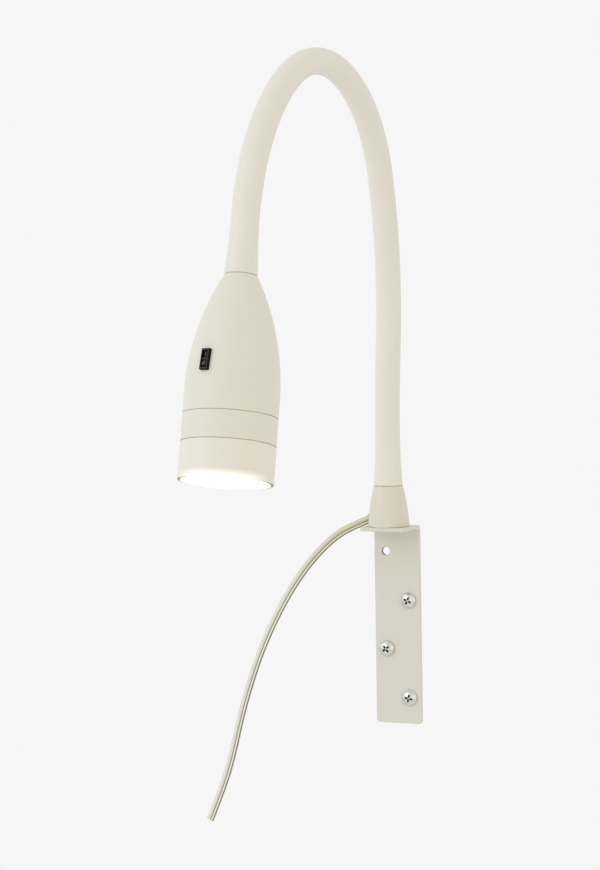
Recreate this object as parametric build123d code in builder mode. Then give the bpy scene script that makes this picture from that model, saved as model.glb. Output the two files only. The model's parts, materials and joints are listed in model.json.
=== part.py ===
from build123d import *
from math import cos, pi, radians, sin, sqrt, tan
import os

# Bedside wall reading lamp on a flexible arm, in millimetres.
# The origin is the centre of the wall plate's back face. +Z is up, the wall is the plane
# y = 0, and the lamp stands out along -Y. The arm's arch lies in the plane x = 0.

os.makedirs("parts", exist_ok=True)

# Fits, each a clearance a side
FIT = 0.1
WIRE_ROOM = 0.25
LINK_GAP = 0.3
PIVOT_FIT = 0.05

# Wall bracket: a steel strip, bent forward at its top into a short shelf
PLATE_WIDTH = 25.0
PLATE_HEIGHT = 104.0
PLATE_THICKNESS = 2.0
SHELF_REACH = 23.0
BEND_INSIDE_RADIUS = 0.8
PLATE_CORNER_RADIUS = 1.8
SHELF_CORNER_RADIUS = 1.6
WALL_HOLE_RADIUS = 2.15
WALL_HOLE_PITCH = 25.5
WALL_HOLE_COUNT = 4
WALL_HOLE_STAGGER = 6.1
TOP_HOLE_DROP = 14.0

# Wall screws: pan heads with a cross recess
SCREW_HEAD_RADIUS = 4.0
SCREW_HEAD_HEIGHT = 2.6
SCREW_HEAD_RIM = 0.8
SCREW_NECK_RADIUS = 1.5
SCREW_THREAD_RADIUS = 2.0
SCREW_LENGTH = 16.0
SCREW_TIP_LENGTH = 4.0
RECESS_SPAN = 4.4
RECESS_WIDTH = 0.9
RECESS_DEPTH = 1.3

# Base cone, clamped between the shelf and the shoulder of the foot ferrule
AXIS_REACH = 13.0
CONE_HEIGHT = 21.3
CONE_FOOT_RADIUS = 10.7
CONE_WAIST_RADIUS = 9.6
CONE_TOP_RADIUS = 7.4
CONE_WALL = 1.3
CONE_EDGE_RADIUS = 0.6

# Seams between the painted parts: a narrow square groove, with the facing edge broken
SEAM_WIDTH = 0.35
SEAM_DEPTH = 0.6
SEAM_CHAMFER = 0.15

# Shelf screw: countersunk, driven up through the shelf into the foot ferrule
SHELF_SCREW_RADIUS = 2.0
SHELF_SCREW_HEAD_RADIUS = 3.7
SHELF_SCREW_BITE = 5.5

# Flexible arm: a steel gooseneck with two wires inside and a soft sleeve outside
SLEEVE_RADIUS = 6.4
SLEEVE_END_RADIUS = 7.45
SLEEVE_SWELL_SHARE = 0.35
CORE_RADIUS = 4.9
CORE_BORE_RADIUS = 3.2
WIRE_RADIUS = 1.05
WIRE_SPACING = 2.12
ARM_END_LENGTH = 24.0
LINK_LENGTH = 45.4
LINK_BENDS = (-6.9, 11.6, 13.2, 38.5, 30.6, 30.9, 24.3, 25.3)

# Ferrules at both ends of the arm
FERRULE_RADIUS = 6.0
FERRULE_GRIP = 16.0
FERRULE_LEDGE = 1.6
FOOT_SHANK_RADIUS = 4.6
FOOT_BORE_START = 12.0
NECK_SHANK_RADIUS = 4.4
NECK_SHANK_LENGTH = 11.0
NUT_ACROSS_FLATS = 12.0
NUT_HEIGHT = 3.5

# Cord: clear flat twin cable out of the cone's side. Its route is chosen by hand along the
# cord in the photograph: how far left of the arm's axis, and how far above the shelf.
CORD_WIDTH = 4.2
CORD_THICKNESS = 2.1
CORD_EXIT_DROP = 15.0
CORD_EXIT_HEIGHT = 3.7
CORD_EXIT_REACH = 10.4
CORD_ROUTE = (
    (17.6, 1.2),
    (29.6, -5.2),
    (43.4, -18.2),
    (54.6, -32.8),
    (64.8, -49.8),
    (73.4, -67.6),
    (80.2, -85.6),
    (86.0, -104.0),
    (90.6, -122.4),
    (96.0, -139.6),
    (104.9, -159.8),
)
ARC_SHARE = 0.45
GROMMET_WALL = 0.6
GROMMET_LIP = 0.5
GROMMET_LIP_START = 1.7
GROMMET_LIP_THICKNESS = 2.0
GROMMET_PROUD = 0.3
INLET_STRAIGHT = 4.4
INLET_TURN_HEIGHT = 14.5
INLET_TURN_RADIUS = 3.2

# Lamp head: bullet-shaped shell, plain middle ring and front ring, on one axis
NECK_RADIUS = 7.4
HEAD_RADIUS = 21.1
NOSE_LENGTH = 54.8
SHELL_LENGTH = 63.1
LAMP_RING_LENGTH = 12.7
FRONT_RING_LENGTH = 16.7
HEAD_WALL = 1.8
NECK_WALL = 6.0
SPIGOT_LENGTH = 5.0
SPIGOT_WALL = 2.0
RIM_RADIUS = 0.4

# Light source: lens, reflector, board and the sink that carries them
LENS_THICKNESS = 2.1
LENS_SEAT = 0.4
LENS_RECESS = 0.9
REFLECTOR_WALL = 1.0
REFLECTOR_THROAT = 6.0
WEB_THICKNESS = 4.0
BOARD_RADIUS = 15.0
BOARD_THICKNESS = 1.6
CHIP_SIDE = 7.0
CHIP_THICKNESS = 0.8
DOME_RADIUS = 2.6
SINK_PLATE = 4.0
SINK_FIN_LENGTH = 12.0
SINK_FIN_THICKNESS = 1.4
SINK_FIN_COUNT = 12
SINK_BOSS_RADIUS = 5.0
BOARD_SCREW_PLACE = 12.0
BOARD_SCREW_RADIUS = 1.5
BOARD_SCREW_HEAD = 2.6
BOARD_SCREW_HEAD_HEIGHT = 1.8
BOARD_SCREW_BITE = 3.0

# Driver circuit between the switch and the sink
DRIVER_BOARD_WIDTH = 15.0
DRIVER_BOARD_LENGTH = 28.0
DRIVER_BOARD_THICKNESS = 1.2
DRIVER_OFFSET = 3.0
CAPACITOR_RADIUS = 3.1
CAPACITOR_LENGTH = 9.0
CAPACITOR_PLACE = 19.0
INDUCTOR_RADIUS = 3.4
INDUCTOR_HEIGHT = 4.2
INDUCTOR_FLANGE = 1.0
INDUCTOR_GROOVE = 0.7
INDUCTOR_PLACE = 7.3
HOLDER_WIDTH = 10.0
HOLDER_DEPTH = 4.4
HOLDER_GRIP = 2.5
HOLDER_LENGTH = 10.0
LED_WIRE_RADIUS = 0.7
LED_WIRE_PLACE = 6.5
LED_WIRE_LAP = 7.5
SUPPLY_LAP_START = 3.2
SUPPLY_LAP = 5.2
TERMINAL_RUN = 8.4

# Rocker switch on the shell
SWITCH_STATION = 41.6
SWITCH_ANGLE = 12.0
SWITCH_WIDTH = 4.2
SWITCH_HEIGHT = 9.4
SWITCH_PROUD = 1.5
SWITCH_SINK = 0.3
SWITCH_LIP = 0.3
SWITCH_DEPTH = 8.0
SWITCH_FLOOR = 1.0
WINDOW_WIDTH = 2.9
WINDOW_HEIGHT = 7.6
ROCKER_TILT = 7.0
ROCKER_END_GAP = 0.2
ROCKER_PIVOT_DEPTH = 0.6
ROCKER_TOP = 1.9
ROCKER_DIP = 0.55
ROCKER_RIB_WIDTH = 1.0
ROCKER_RIB_HEIGHT = 0.35
ROCKER_KEEL_WIDTH = 2.0
ROCKER_THICKNESS = 1.2
ROCKER_PIN_RADIUS = 0.5
ROCKER_PIN_LENGTH = 0.3
ROCKER_POST_RADIUS = 0.6
ROCKER_POST_LENGTH = 2.2
TERMINAL_WIDTH = 1.6
TERMINAL_THICKNESS = 0.5
TERMINAL_INSIDE = 1.6
TERMINAL_OUTSIDE = 3.0
TERMINAL_SPACING = 2.7


# Places and directions

shelf_top = PLATE_HEIGHT / 2
hole_faces = []
for row in range(WALL_HOLE_COUNT):
    hole_side = WALL_HOLE_STAGGER if row % 2 else -WALL_HOLE_STAGGER
    hole_height = shelf_top - TOP_HOLE_DROP - row * WALL_HOLE_PITCH
    hole_faces.append(Plane(origin=(hole_side, -PLATE_THICKNESS, hole_height), z_dir=(0, -1, 0)))


def section_of(place):
    """The plane through a round piece's axis: its own x is the radius, its y the axis."""
    return Plane(origin=place.origin, x_dir=place.x_dir, z_dir=-place.y_dir)


def moved_along(place, distance):
    """The same plane, further along its own z."""
    return place.offset(distance)


def after_bend(place, length, bend):
    """The plane at the far end of an arc that leans forward by bend degrees."""
    radius = length / radians(bend)
    forward = -place.y_dir
    origin = place.origin + place.z_dir * (radius * sin(radians(bend)))
    origin += forward * (radius * (1 - cos(radians(bend))))
    along = place.z_dir * cos(radians(bend)) + forward * sin(radians(bend))
    return Plane(origin=origin, x_dir=place.x_dir, z_dir=along)


def world_point(place, x, y, z):
    """A point given in a plane's own directions."""
    return place.origin + place.x_dir * x + place.y_dir * y + place.z_dir * z


def route_radii(points, smallest):
    """An arc for each corner of a route, as large as its two runs allow."""
    radii = []
    for before, corner, after in zip(points, points[1:], points[2:]):
        turn = (corner - before).get_angle(after - corner)
        shorter = min((corner - before).length, (after - corner).length)
        radii.append(max(smallest, ARC_SHARE * shorter / tan(radians(turn / 2))))
    return radii


base = Plane(origin=(0, -AXIS_REACH, shelf_top), x_dir=(1, 0, 0), z_dir=(0, 0, 1))
arm_foot = moved_along(base, CONE_HEIGHT)
pivots = [moved_along(arm_foot, ARM_END_LENGTH)]
for bend in LINK_BENDS:
    pivots.append(after_bend(pivots[-1], LINK_LENGTH, bend))
head = moved_along(pivots[-1], ARM_END_LENGTH)
link_count = len(LINK_BENDS)


# Wall bracket and its screws

with BuildPart() as wall_bracket:
    with BuildSketch(Plane.YZ.offset(-PLATE_WIDTH / 2)):
        with BuildLine():
            Polyline(
                (0, -PLATE_HEIGHT / 2),
                (0, shelf_top),
                (-SHELF_REACH, shelf_top),
                (-SHELF_REACH, shelf_top - PLATE_THICKNESS),
                (-PLATE_THICKNESS, shelf_top - PLATE_THICKNESS),
                (-PLATE_THICKNESS, -PLATE_HEIGHT / 2),
                close=True,
            )
        make_face()
    extrude(amount=PLATE_WIDTH)
    bend_edges = wall_bracket.edges().filter_by(Axis.X)
    inner_bend = bend_edges.sort_by_distance((0, -PLATE_THICKNESS, shelf_top - PLATE_THICKNESS))[0]
    fillet(inner_bend, radius=BEND_INSIDE_RADIUS)
    outer_bend = wall_bracket.edges().filter_by(Axis.X).sort_by_distance((0, 0, shelf_top))[0]
    fillet(outer_bend, radius=BEND_INSIDE_RADIUS + PLATE_THICKNESS)
    foot_corners = wall_bracket.edges().filter_by(Axis.Y).group_by(Axis.Z)[0]
    fillet(foot_corners, radius=PLATE_CORNER_RADIUS)
    shelf_corners = wall_bracket.edges().filter_by(Axis.Z).group_by(Axis.Y)[0]
    fillet(shelf_corners, radius=SHELF_CORNER_RADIUS)
    with Locations(*hole_faces):
        Hole(radius=WALL_HOLE_RADIUS, depth=PLATE_THICKNESS)
    shelf_underside = Plane(
        origin=(0, -AXIS_REACH, shelf_top - PLATE_THICKNESS), x_dir=(1, 0, 0), z_dir=(0, 0, -1)
    )
    with Locations(shelf_underside):
        CounterSinkHole(
            radius=SHELF_SCREW_RADIUS + FIT,
            counter_sink_radius=SHELF_SCREW_HEAD_RADIUS + FIT,
            depth=PLATE_THICKNESS,
            counter_sink_angle=90,
        )
wall_bracket.part.label = "wall_bracket"
export_step(wall_bracket.part, "parts/wall_bracket.step")

with BuildPart() as wall_screw:
    screw_neck_end = PLATE_THICKNESS + SCREW_THREAD_RADIUS - SCREW_NECK_RADIUS
    dome_rise = SCREW_HEAD_HEIGHT - SCREW_HEAD_RIM
    dome_radius = (SCREW_HEAD_RADIUS**2 + dome_rise**2) / (2 * dome_rise)
    with BuildSketch(Plane.XZ):
        with BuildLine():
            Polyline(
                (0, SCREW_HEAD_HEIGHT),
                (0, -SCREW_LENGTH),
                (SCREW_THREAD_RADIUS, SCREW_TIP_LENGTH - SCREW_LENGTH),
                (SCREW_THREAD_RADIUS, -screw_neck_end),
                (SCREW_NECK_RADIUS, -PLATE_THICKNESS),
                (SCREW_NECK_RADIUS, 0),
                (SCREW_HEAD_RADIUS, 0),
                (SCREW_HEAD_RADIUS, SCREW_HEAD_RIM),
            )
            RadiusArc((SCREW_HEAD_RADIUS, SCREW_HEAD_RIM), (0, SCREW_HEAD_HEIGHT), -dome_radius)
        make_face()
    revolve(axis=Axis.Z)
    with BuildSketch(Plane.XY.offset(SCREW_HEAD_HEIGHT)):
        Rectangle(RECESS_SPAN, RECESS_WIDTH)
        Rectangle(RECESS_WIDTH, RECESS_SPAN)
    extrude(amount=-RECESS_DEPTH, mode=Mode.SUBTRACT)

with BuildPart() as wall_screws:
    with Locations(*hole_faces[1:]):
        add(wall_screw.part)
wall_screws.part.label = "wall_screws"
export_step(wall_screws.part, "parts/wall_screws.step")


# Base: cone, grommet, shelf screw and foot ferrule

cord_direction = Vector(-cos(radians(CORD_EXIT_DROP)), 0, -sin(radians(CORD_EXIT_DROP)))
cord_exit = Plane(
    origin=world_point(base, -CORD_EXIT_REACH, 0, CORD_EXIT_HEIGHT),
    x_dir=Vector(0, 1, 0).cross(cord_direction),
    z_dir=cord_direction,
)
grommet_width = CORD_WIDTH + 2 * (GROMMET_WALL + FIT)
grommet_thickness = CORD_THICKNESS + 2 * (GROMMET_WALL + FIT)

with BuildPart() as base_cone:
    with BuildSketch(section_of(base)):
        with BuildLine():
            Polyline((CONE_TOP_RADIUS, CONE_HEIGHT), (0, CONE_HEIGHT), (0, 0), (CONE_FOOT_RADIUS, 0))
            ThreePointArc(
                (CONE_FOOT_RADIUS, 0),
                (CONE_WAIST_RADIUS, CONE_HEIGHT / 2),
                (CONE_TOP_RADIUS, CONE_HEIGHT),
            )
        make_face()
    revolve(axis=Axis(base.origin, base.z_dir))
    cone_foot = base_cone.faces().sort_by(Axis.Z)[0]
    offset(amount=-CONE_WALL, openings=cone_foot)
    cone_rings = base_cone.edges().filter_by(GeomType.CIRCLE).group_by(Axis.Z)
    foot_rim = cone_rings[0].sort_by(SortBy.RADIUS)[-1]
    fillet(foot_rim, radius=CONE_EDGE_RADIUS)
    with BuildSketch(arm_foot):
        Circle(CONE_FOOT_RADIUS)
        Circle(CONE_TOP_RADIUS - SEAM_DEPTH, mode=Mode.SUBTRACT)
    extrude(amount=-SEAM_WIDTH, mode=Mode.SUBTRACT)
    with Locations(arm_foot):
        Hole(radius=FOOT_SHANK_RADIUS + FIT, depth=2 * CONE_WALL)
    with BuildSketch(moved_along(cord_exit, CONE_WALL)):
        SlotOverall(grommet_width + 2 * FIT, grommet_thickness + 2 * FIT)
    extrude(amount=-(2 * CONE_WALL + GROMMET_LIP_START), mode=Mode.SUBTRACT)
base_cone.part.label = "base_cone"
export_step(base_cone.part, "parts/base_cone.step")

# The grommet's lip backs onto the inside of the cone's wall.
with BuildPart() as cord_grommet:
    with BuildSketch(moved_along(cord_exit, GROMMET_PROUD)):
        SlotOverall(grommet_width, grommet_thickness)
    extrude(amount=-(GROMMET_PROUD + GROMMET_LIP_START))
    with BuildSketch(moved_along(cord_exit, -GROMMET_LIP_START)):
        SlotOverall(grommet_width + 2 * GROMMET_LIP, grommet_thickness + 2 * GROMMET_LIP)
    extrude(amount=-GROMMET_LIP_THICKNESS)
    add(base_cone.part, mode=Mode.SUBTRACT)
    with BuildSketch(moved_along(cord_exit, GROMMET_PROUD)):
        SlotOverall(CORD_WIDTH + 2 * FIT, CORD_THICKNESS + 2 * FIT)
    extrude(amount=-(GROMMET_PROUD + GROMMET_LIP_START + GROMMET_LIP_THICKNESS), mode=Mode.SUBTRACT)
cord_grommet.part.label = "cord_grommet"
export_step(cord_grommet.part, "parts/cord_grommet.step")

with BuildPart() as shelf_screw:
    head_depth = SHELF_SCREW_HEAD_RADIUS - SHELF_SCREW_RADIUS
    with BuildSketch(section_of(base)):
        with BuildLine():
            Polyline(
                (0, -PLATE_THICKNESS),
                (SHELF_SCREW_HEAD_RADIUS, -PLATE_THICKNESS),
                (SHELF_SCREW_RADIUS, head_depth - PLATE_THICKNESS),
                (SHELF_SCREW_RADIUS, SHELF_SCREW_BITE),
                (0, SHELF_SCREW_BITE),
                close=True,
            )
        make_face()
    revolve(axis=Axis(base.origin, base.z_dir))
    with BuildSketch(moved_along(base, -PLATE_THICKNESS)):
        Rectangle(RECESS_SPAN, RECESS_WIDTH)
        Rectangle(RECESS_WIDTH, RECESS_SPAN)
    extrude(amount=RECESS_DEPTH, mode=Mode.SUBTRACT)
shelf_screw.part.label = "shelf_screw"
export_step(shelf_screw.part, "parts/shelf_screw.step")

# The two wires come in through the grommet, turn up inside the cone and rise into the arm.
inlet_points = [
    world_point(cord_exit, 0, 0, GROMMET_PROUD),
    world_point(cord_exit, 0, 0, -INLET_STRAIGHT),
    world_point(base, 0, 0, INLET_TURN_HEIGHT),
    world_point(arm_foot, 0, 0, FERRULE_LEDGE),
]
inlet_start = moved_along(cord_exit, GROMMET_PROUD)

with BuildPart() as wire_channel:
    with BuildLine():
        FilletPolyline(*inlet_points, radius=INLET_TURN_RADIUS)
    with BuildSketch(inlet_start):
        SlotOverall(CORD_WIDTH + 2 * WIRE_ROOM, CORD_THICKNESS + 2 * WIRE_ROOM)
    sweep()

with BuildPart() as foot_ferrule:
    with BuildSketch(section_of(base)):
        with BuildLine():
            Polyline(
                (0, 0),
                (FOOT_SHANK_RADIUS, 0),
                (FOOT_SHANK_RADIUS, CONE_HEIGHT),
                (FERRULE_RADIUS, CONE_HEIGHT),
                (FERRULE_RADIUS, CONE_HEIGHT + FERRULE_GRIP),
                (CORE_RADIUS + FIT, CONE_HEIGHT + FERRULE_GRIP),
                (CORE_RADIUS + FIT, CONE_HEIGHT + FERRULE_LEDGE),
                (CORE_BORE_RADIUS, CONE_HEIGHT + FERRULE_LEDGE),
                (CORE_BORE_RADIUS, FOOT_BORE_START),
                (0, FOOT_BORE_START),
                close=True,
            )
        make_face()
    revolve(axis=Axis(base.origin, base.z_dir))
    with BuildSketch(base):
        Circle(SHELF_SCREW_RADIUS)
    extrude(amount=SHELF_SCREW_BITE, mode=Mode.SUBTRACT)
    add(wire_channel.part, mode=Mode.SUBTRACT)
foot_ferrule.part.label = "foot_ferrule"
export_step(foot_ferrule.part, "parts/foot_ferrule.step")

with BuildPart() as inlet_wires:
    with BuildLine():
        FilletPolyline(*inlet_points, radius=INLET_TURN_RADIUS)
    with BuildSketch(inlet_start):
        with GridLocations(WIRE_SPACING, 0, 2, 1):
            Circle(WIRE_RADIUS)
    sweep()
inlet_wires.part.label = "inlet_wires"
export_step(inlet_wires.part, "parts/inlet_wires.step")


# Cord, from the grommet's mouth to its bare end

cord_points = [inlet_start.origin]
cord_points += [world_point(base, -left, 0, up) for left, up in CORD_ROUTE]
cord_radii = route_radii(cord_points, CORD_WIDTH)

with BuildPart() as cord:
    with BuildLine() as cord_line:
        FilletPolyline(*cord_points, radius=cord_radii)
    with BuildSketch(inlet_start):
        SlotOverall(CORD_WIDTH, CORD_THICKNESS)
    sweep()
cord.part.label = "cord"
export_step(cord.part, "parts/cord.step")
cord_length = sum(edge.length for edge in cord_line.edges())
print("cord radii", [round(radius, 1) for radius in cord_radii], "length", round(cord_length, 1))
section_area = (CORD_WIDTH - CORD_THICKNESS) * CORD_THICKNESS + pi * CORD_THICKNESS**2 / 4
print("cord volume over section times length", round(cord.part.volume / section_area / cord_length, 4))


# Arm: each link is a stiff length with a ball end that turns in the next link's cup


def ball_end(place, outer, bore):
    """The end of a tube, rounded to a ball about the pivot."""
    with BuildPart() as end:
        with BuildSketch(section_of(place)):
            with BuildLine():
                bore_height = sqrt(SLEEVE_RADIUS**2 - bore**2)
                outer_height = sqrt(SLEEVE_RADIUS**2 - outer**2)
                middle_height = sqrt(SLEEVE_RADIUS**2 - ((outer + bore) / 2) ** 2)
                ThreePointArc((outer, outer_height), ((outer + bore) / 2, middle_height), (bore, bore_height))
                Line((bore, bore_height), (bore, 0))
                Line((bore, 0), (outer, 0))
                if outer_height > 0:
                    Line((outer, 0), (outer, outer_height))
            make_face()
        revolve(axis=Axis(place.origin, place.z_dir))
    return end.part


def sleeve_end(place):
    """The sleeve's widened end, stretched over a ferrule; the place points into the arm."""
    grip = FERRULE_GRIP + FIT
    swell_radius = SLEEVE_RADIUS + SLEEVE_SWELL_SHARE * (SLEEVE_END_RADIUS - SLEEVE_RADIUS)
    with BuildPart() as end:
        with BuildSketch(section_of(place)):
            with BuildLine():
                ThreePointArc(
                    (SLEEVE_END_RADIUS, 0),
                    (swell_radius, ARM_END_LENGTH / 2),
                    (SLEEVE_RADIUS, ARM_END_LENGTH),
                )
                Polyline(
                    (SLEEVE_RADIUS, ARM_END_LENGTH),
                    (CORE_RADIUS + FIT, ARM_END_LENGTH),
                    (CORE_RADIUS + FIT, grip),
                    (FERRULE_RADIUS + FIT, grip),
                    (FERRULE_RADIUS + FIT, 0),
                    (SLEEVE_END_RADIUS, 0),
                )
            make_face()
        revolve(axis=Axis(place.origin, place.z_dir))
    return end.part


def straight_end(place):
    """The core's straight end, from the ferrule's ledge to the first or last bend."""
    with BuildPart() as end:
        with BuildSketch(moved_along(place, FERRULE_LEDGE)):
            Circle(CORE_RADIUS)
            Circle(CORE_BORE_RADIUS, mode=Mode.SUBTRACT)
        extrude(amount=ARM_END_LENGTH - FERRULE_LEDGE)
    return end.part


def wire_ends(place, start, length):
    """Two straight wires side by side."""
    with BuildPart() as end:
        with BuildSketch(moved_along(place, start)):
            with GridLocations(WIRE_SPACING, 0, 2, 1):
                Circle(WIRE_RADIUS)
        extrude(amount=length)
    return end.part


neck_end = Plane(origin=head.origin, x_dir=head.x_dir, z_dir=-head.z_dir)
wire_reach = sqrt(SLEEVE_RADIUS**2 - (WIRE_SPACING / 2 + WIRE_RADIUS) ** 2)

for number in range(link_count):
    start = pivots[number]
    middle = after_bend(start, LINK_LENGTH / 2, LINK_BENDS[number] / 2)
    finish = pivots[number + 1]
    first = number == 0
    last = number == link_count - 1
    label = str(number + 1)

    sleeve_ends = []
    core_ends = []
    wire_tails = []
    if first:
        sleeve_ends.append(sleeve_end(arm_foot))
        core_ends.append(straight_end(arm_foot))
        wire_tails.append(wire_ends(arm_foot, FERRULE_LEDGE, ARM_END_LENGTH - FERRULE_LEDGE))
    if last:
        sleeve_ends.append(sleeve_end(neck_end))
        core_ends.append(straight_end(neck_end))
        wire_tails.append(wire_ends(neck_end, FERRULE_LEDGE, ARM_END_LENGTH - FERRULE_LEDGE))
    else:
        sleeve_ends.append(ball_end(finish, SLEEVE_RADIUS, CORE_RADIUS + FIT))
        core_ends.append(ball_end(finish, CORE_RADIUS, CORE_BORE_RADIUS))
        wire_tails.append(wire_ends(finish, 0, wire_reach))

    with BuildPart() as arm_sleeve:
        with BuildLine():
            ThreePointArc(start.origin, middle.origin, finish.origin)
        with BuildSketch(start):
            Circle(SLEEVE_RADIUS)
            Circle(CORE_RADIUS + FIT, mode=Mode.SUBTRACT)
        sweep()
        if not first:
            with Locations(start.origin):
                Sphere(SLEEVE_RADIUS + LINK_GAP, mode=Mode.SUBTRACT)
        add(sleeve_ends)
    arm_sleeve.part.label = "arm_sleeve_" + label
    export_step(arm_sleeve.part, "parts/arm_sleeve_" + label + ".step")

    with BuildPart() as arm_core:
        with BuildLine():
            ThreePointArc(start.origin, middle.origin, finish.origin)
        with BuildSketch(start):
            Circle(CORE_RADIUS)
            Circle(CORE_BORE_RADIUS, mode=Mode.SUBTRACT)
        sweep()
        if not first:
            with Locations(start.origin):
                Sphere(SLEEVE_RADIUS + LINK_GAP, mode=Mode.SUBTRACT)
        add(core_ends)
    arm_core.part.label = "arm_core_" + label
    export_step(arm_core.part, "parts/arm_core_" + label + ".step")

    with BuildPart() as arm_wires:
        with BuildLine():
            ThreePointArc(start.origin, middle.origin, finish.origin)
        with BuildSketch(start):
            with GridLocations(WIRE_SPACING, 0, 2, 1):
                Circle(WIRE_RADIUS)
        sweep()
        if not first:
            with Locations(start.origin):
                Sphere(SLEEVE_RADIUS + LINK_GAP, mode=Mode.SUBTRACT)
        add(wire_tails)
    arm_wires.part.label = "arm_wires_" + label
    export_step(arm_wires.part, "parts/arm_wires_" + label + ".step")


# Head: the places inside it are given in a frame turned to face the switch, with x across
# the switch, y out towards it and z down the head's axis from the neck seam.

switch_turn = radians(SWITCH_ANGLE)
inside = Plane(
    origin=head.origin,
    x_dir=head.x_dir * cos(switch_turn) + head.y_dir * sin(switch_turn),
    z_dir=head.z_dir,
)
head_axis = Axis(head.origin, head.z_dir)
nose_rise = HEAD_RADIUS - NECK_RADIUS
nose_arc = (NOSE_LENGTH**2 + nose_rise**2) / (2 * nose_rise)
ring_start = SHELL_LENGTH
ring_end = ring_start + LAMP_RING_LENGTH
rim = ring_end + FRONT_RING_LENGTH
bore_radius = HEAD_RADIUS - HEAD_WALL
spigot_radius = bore_radius - FIT
spigot_bore = spigot_radius - SPIGOT_WALL


def nose_radius(station, inset=0.0):
    """The shell's radius at a distance from the neck seam, less a wall."""
    short = max(0.0, NOSE_LENGTH - station)
    return HEAD_RADIUS - nose_arc + sqrt((nose_arc - inset) ** 2 - short**2)


with BuildPart() as head_ferrule:
    with BuildSketch(section_of(head)):
        with BuildLine():
            Polyline(
                (CORE_BORE_RADIUS, NECK_SHANK_LENGTH),
                (NECK_SHANK_RADIUS, NECK_SHANK_LENGTH),
                (NECK_SHANK_RADIUS, 0),
                (FERRULE_RADIUS, 0),
                (FERRULE_RADIUS, -FERRULE_GRIP),
                (CORE_RADIUS + FIT, -FERRULE_GRIP),
                (CORE_RADIUS + FIT, -FERRULE_LEDGE),
                (CORE_BORE_RADIUS, -FERRULE_LEDGE),
                close=True,
            )
        make_face()
    revolve(axis=head_axis)
head_ferrule.part.label = "head_ferrule"
export_step(head_ferrule.part, "parts/head_ferrule.step")

with BuildPart() as neck_nut:
    with BuildSketch(moved_along(inside, NECK_WALL)):
        RegularPolygon(NUT_ACROSS_FLATS / 2, 6, major_radius=False)
        Circle(NECK_SHANK_RADIUS + FIT, mode=Mode.SUBTRACT)
    extrude(amount=NUT_HEIGHT)
neck_nut.part.label = "neck_nut"
export_step(neck_nut.part, "parts/neck_nut.step")

# The switch sits square to the shell's surface.
slope = (NOSE_LENGTH - SWITCH_STATION) / nose_arc
lean_cos = sqrt(1 - slope**2)
switch = Plane(
    origin=world_point(inside, 0, nose_radius(SWITCH_STATION), SWITCH_STATION),
    x_dir=inside.x_dir,
    z_dir=inside.y_dir * lean_cos - inside.z_dir * slope,
)
body_width = SWITCH_WIDTH - 2 * SWITCH_LIP
body_height = SWITCH_HEIGHT - 2 * SWITCH_LIP

with BuildPart() as head_shell:
    with BuildSketch(section_of(head)):
        with BuildLine():
            ThreePointArc(
                (nose_radius(SEAM_WIDTH), SEAM_WIDTH),
                (nose_radius(NOSE_LENGTH / 2), NOSE_LENGTH / 2),
                (HEAD_RADIUS, NOSE_LENGTH),
            )
            Polyline(
                (HEAD_RADIUS, NOSE_LENGTH),
                (HEAD_RADIUS, SHELL_LENGTH - SEAM_CHAMFER),
                (HEAD_RADIUS - SEAM_CHAMFER, SHELL_LENGTH),
                (bore_radius, SHELL_LENGTH),
                (bore_radius, NOSE_LENGTH),
            )
            ThreePointArc(
                (bore_radius, NOSE_LENGTH),
                (nose_radius(NOSE_LENGTH / 2, HEAD_WALL), NOSE_LENGTH / 2),
                (nose_radius(NECK_WALL, HEAD_WALL), NECK_WALL),
            )
            Polyline(
                (nose_radius(NECK_WALL, HEAD_WALL), NECK_WALL),
                (NECK_SHANK_RADIUS + FIT, NECK_WALL),
                (NECK_SHANK_RADIUS + FIT, 0),
                (NECK_RADIUS - SEAM_DEPTH, 0),
                (NECK_RADIUS - SEAM_DEPTH, SEAM_WIDTH),
                (nose_radius(SEAM_WIDTH), SEAM_WIDTH),
            )
        make_face()
    revolve(axis=head_axis)
    with BuildSketch(moved_along(switch, -SWITCH_SINK)):
        Rectangle(SWITCH_WIDTH + 2 * FIT, SWITCH_HEIGHT + 2 * FIT)
    extrude(amount=SWITCH_PROUD, mode=Mode.SUBTRACT)
    with BuildSketch(switch):
        Rectangle(body_width + 2 * FIT, body_height + 2 * FIT)
    extrude(amount=-2 * HEAD_WALL, mode=Mode.SUBTRACT)
head_shell.part.label = "head_shell"
export_step(head_shell.part, "parts/head_shell.step")

web_end = ring_end - HEAD_WALL
web_start = web_end - WEB_THICKNESS
board_face = web_end + BOARD_THICKNESS
sink_start = web_start - SINK_PLATE
fins_start = sink_start - SINK_FIN_LENGTH
sink_radius = spigot_bore - FIT
led_wire_height = LED_WIRE_RADIUS + DRIVER_BOARD_THICKNESS / 2 - DRIVER_OFFSET
led_wire_places = [(side * LED_WIRE_PLACE, led_wire_height) for side in (-1, 1)]
board_screw_places = [(side * BOARD_SCREW_PLACE, 0) for side in (-1, 1)]

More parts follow.
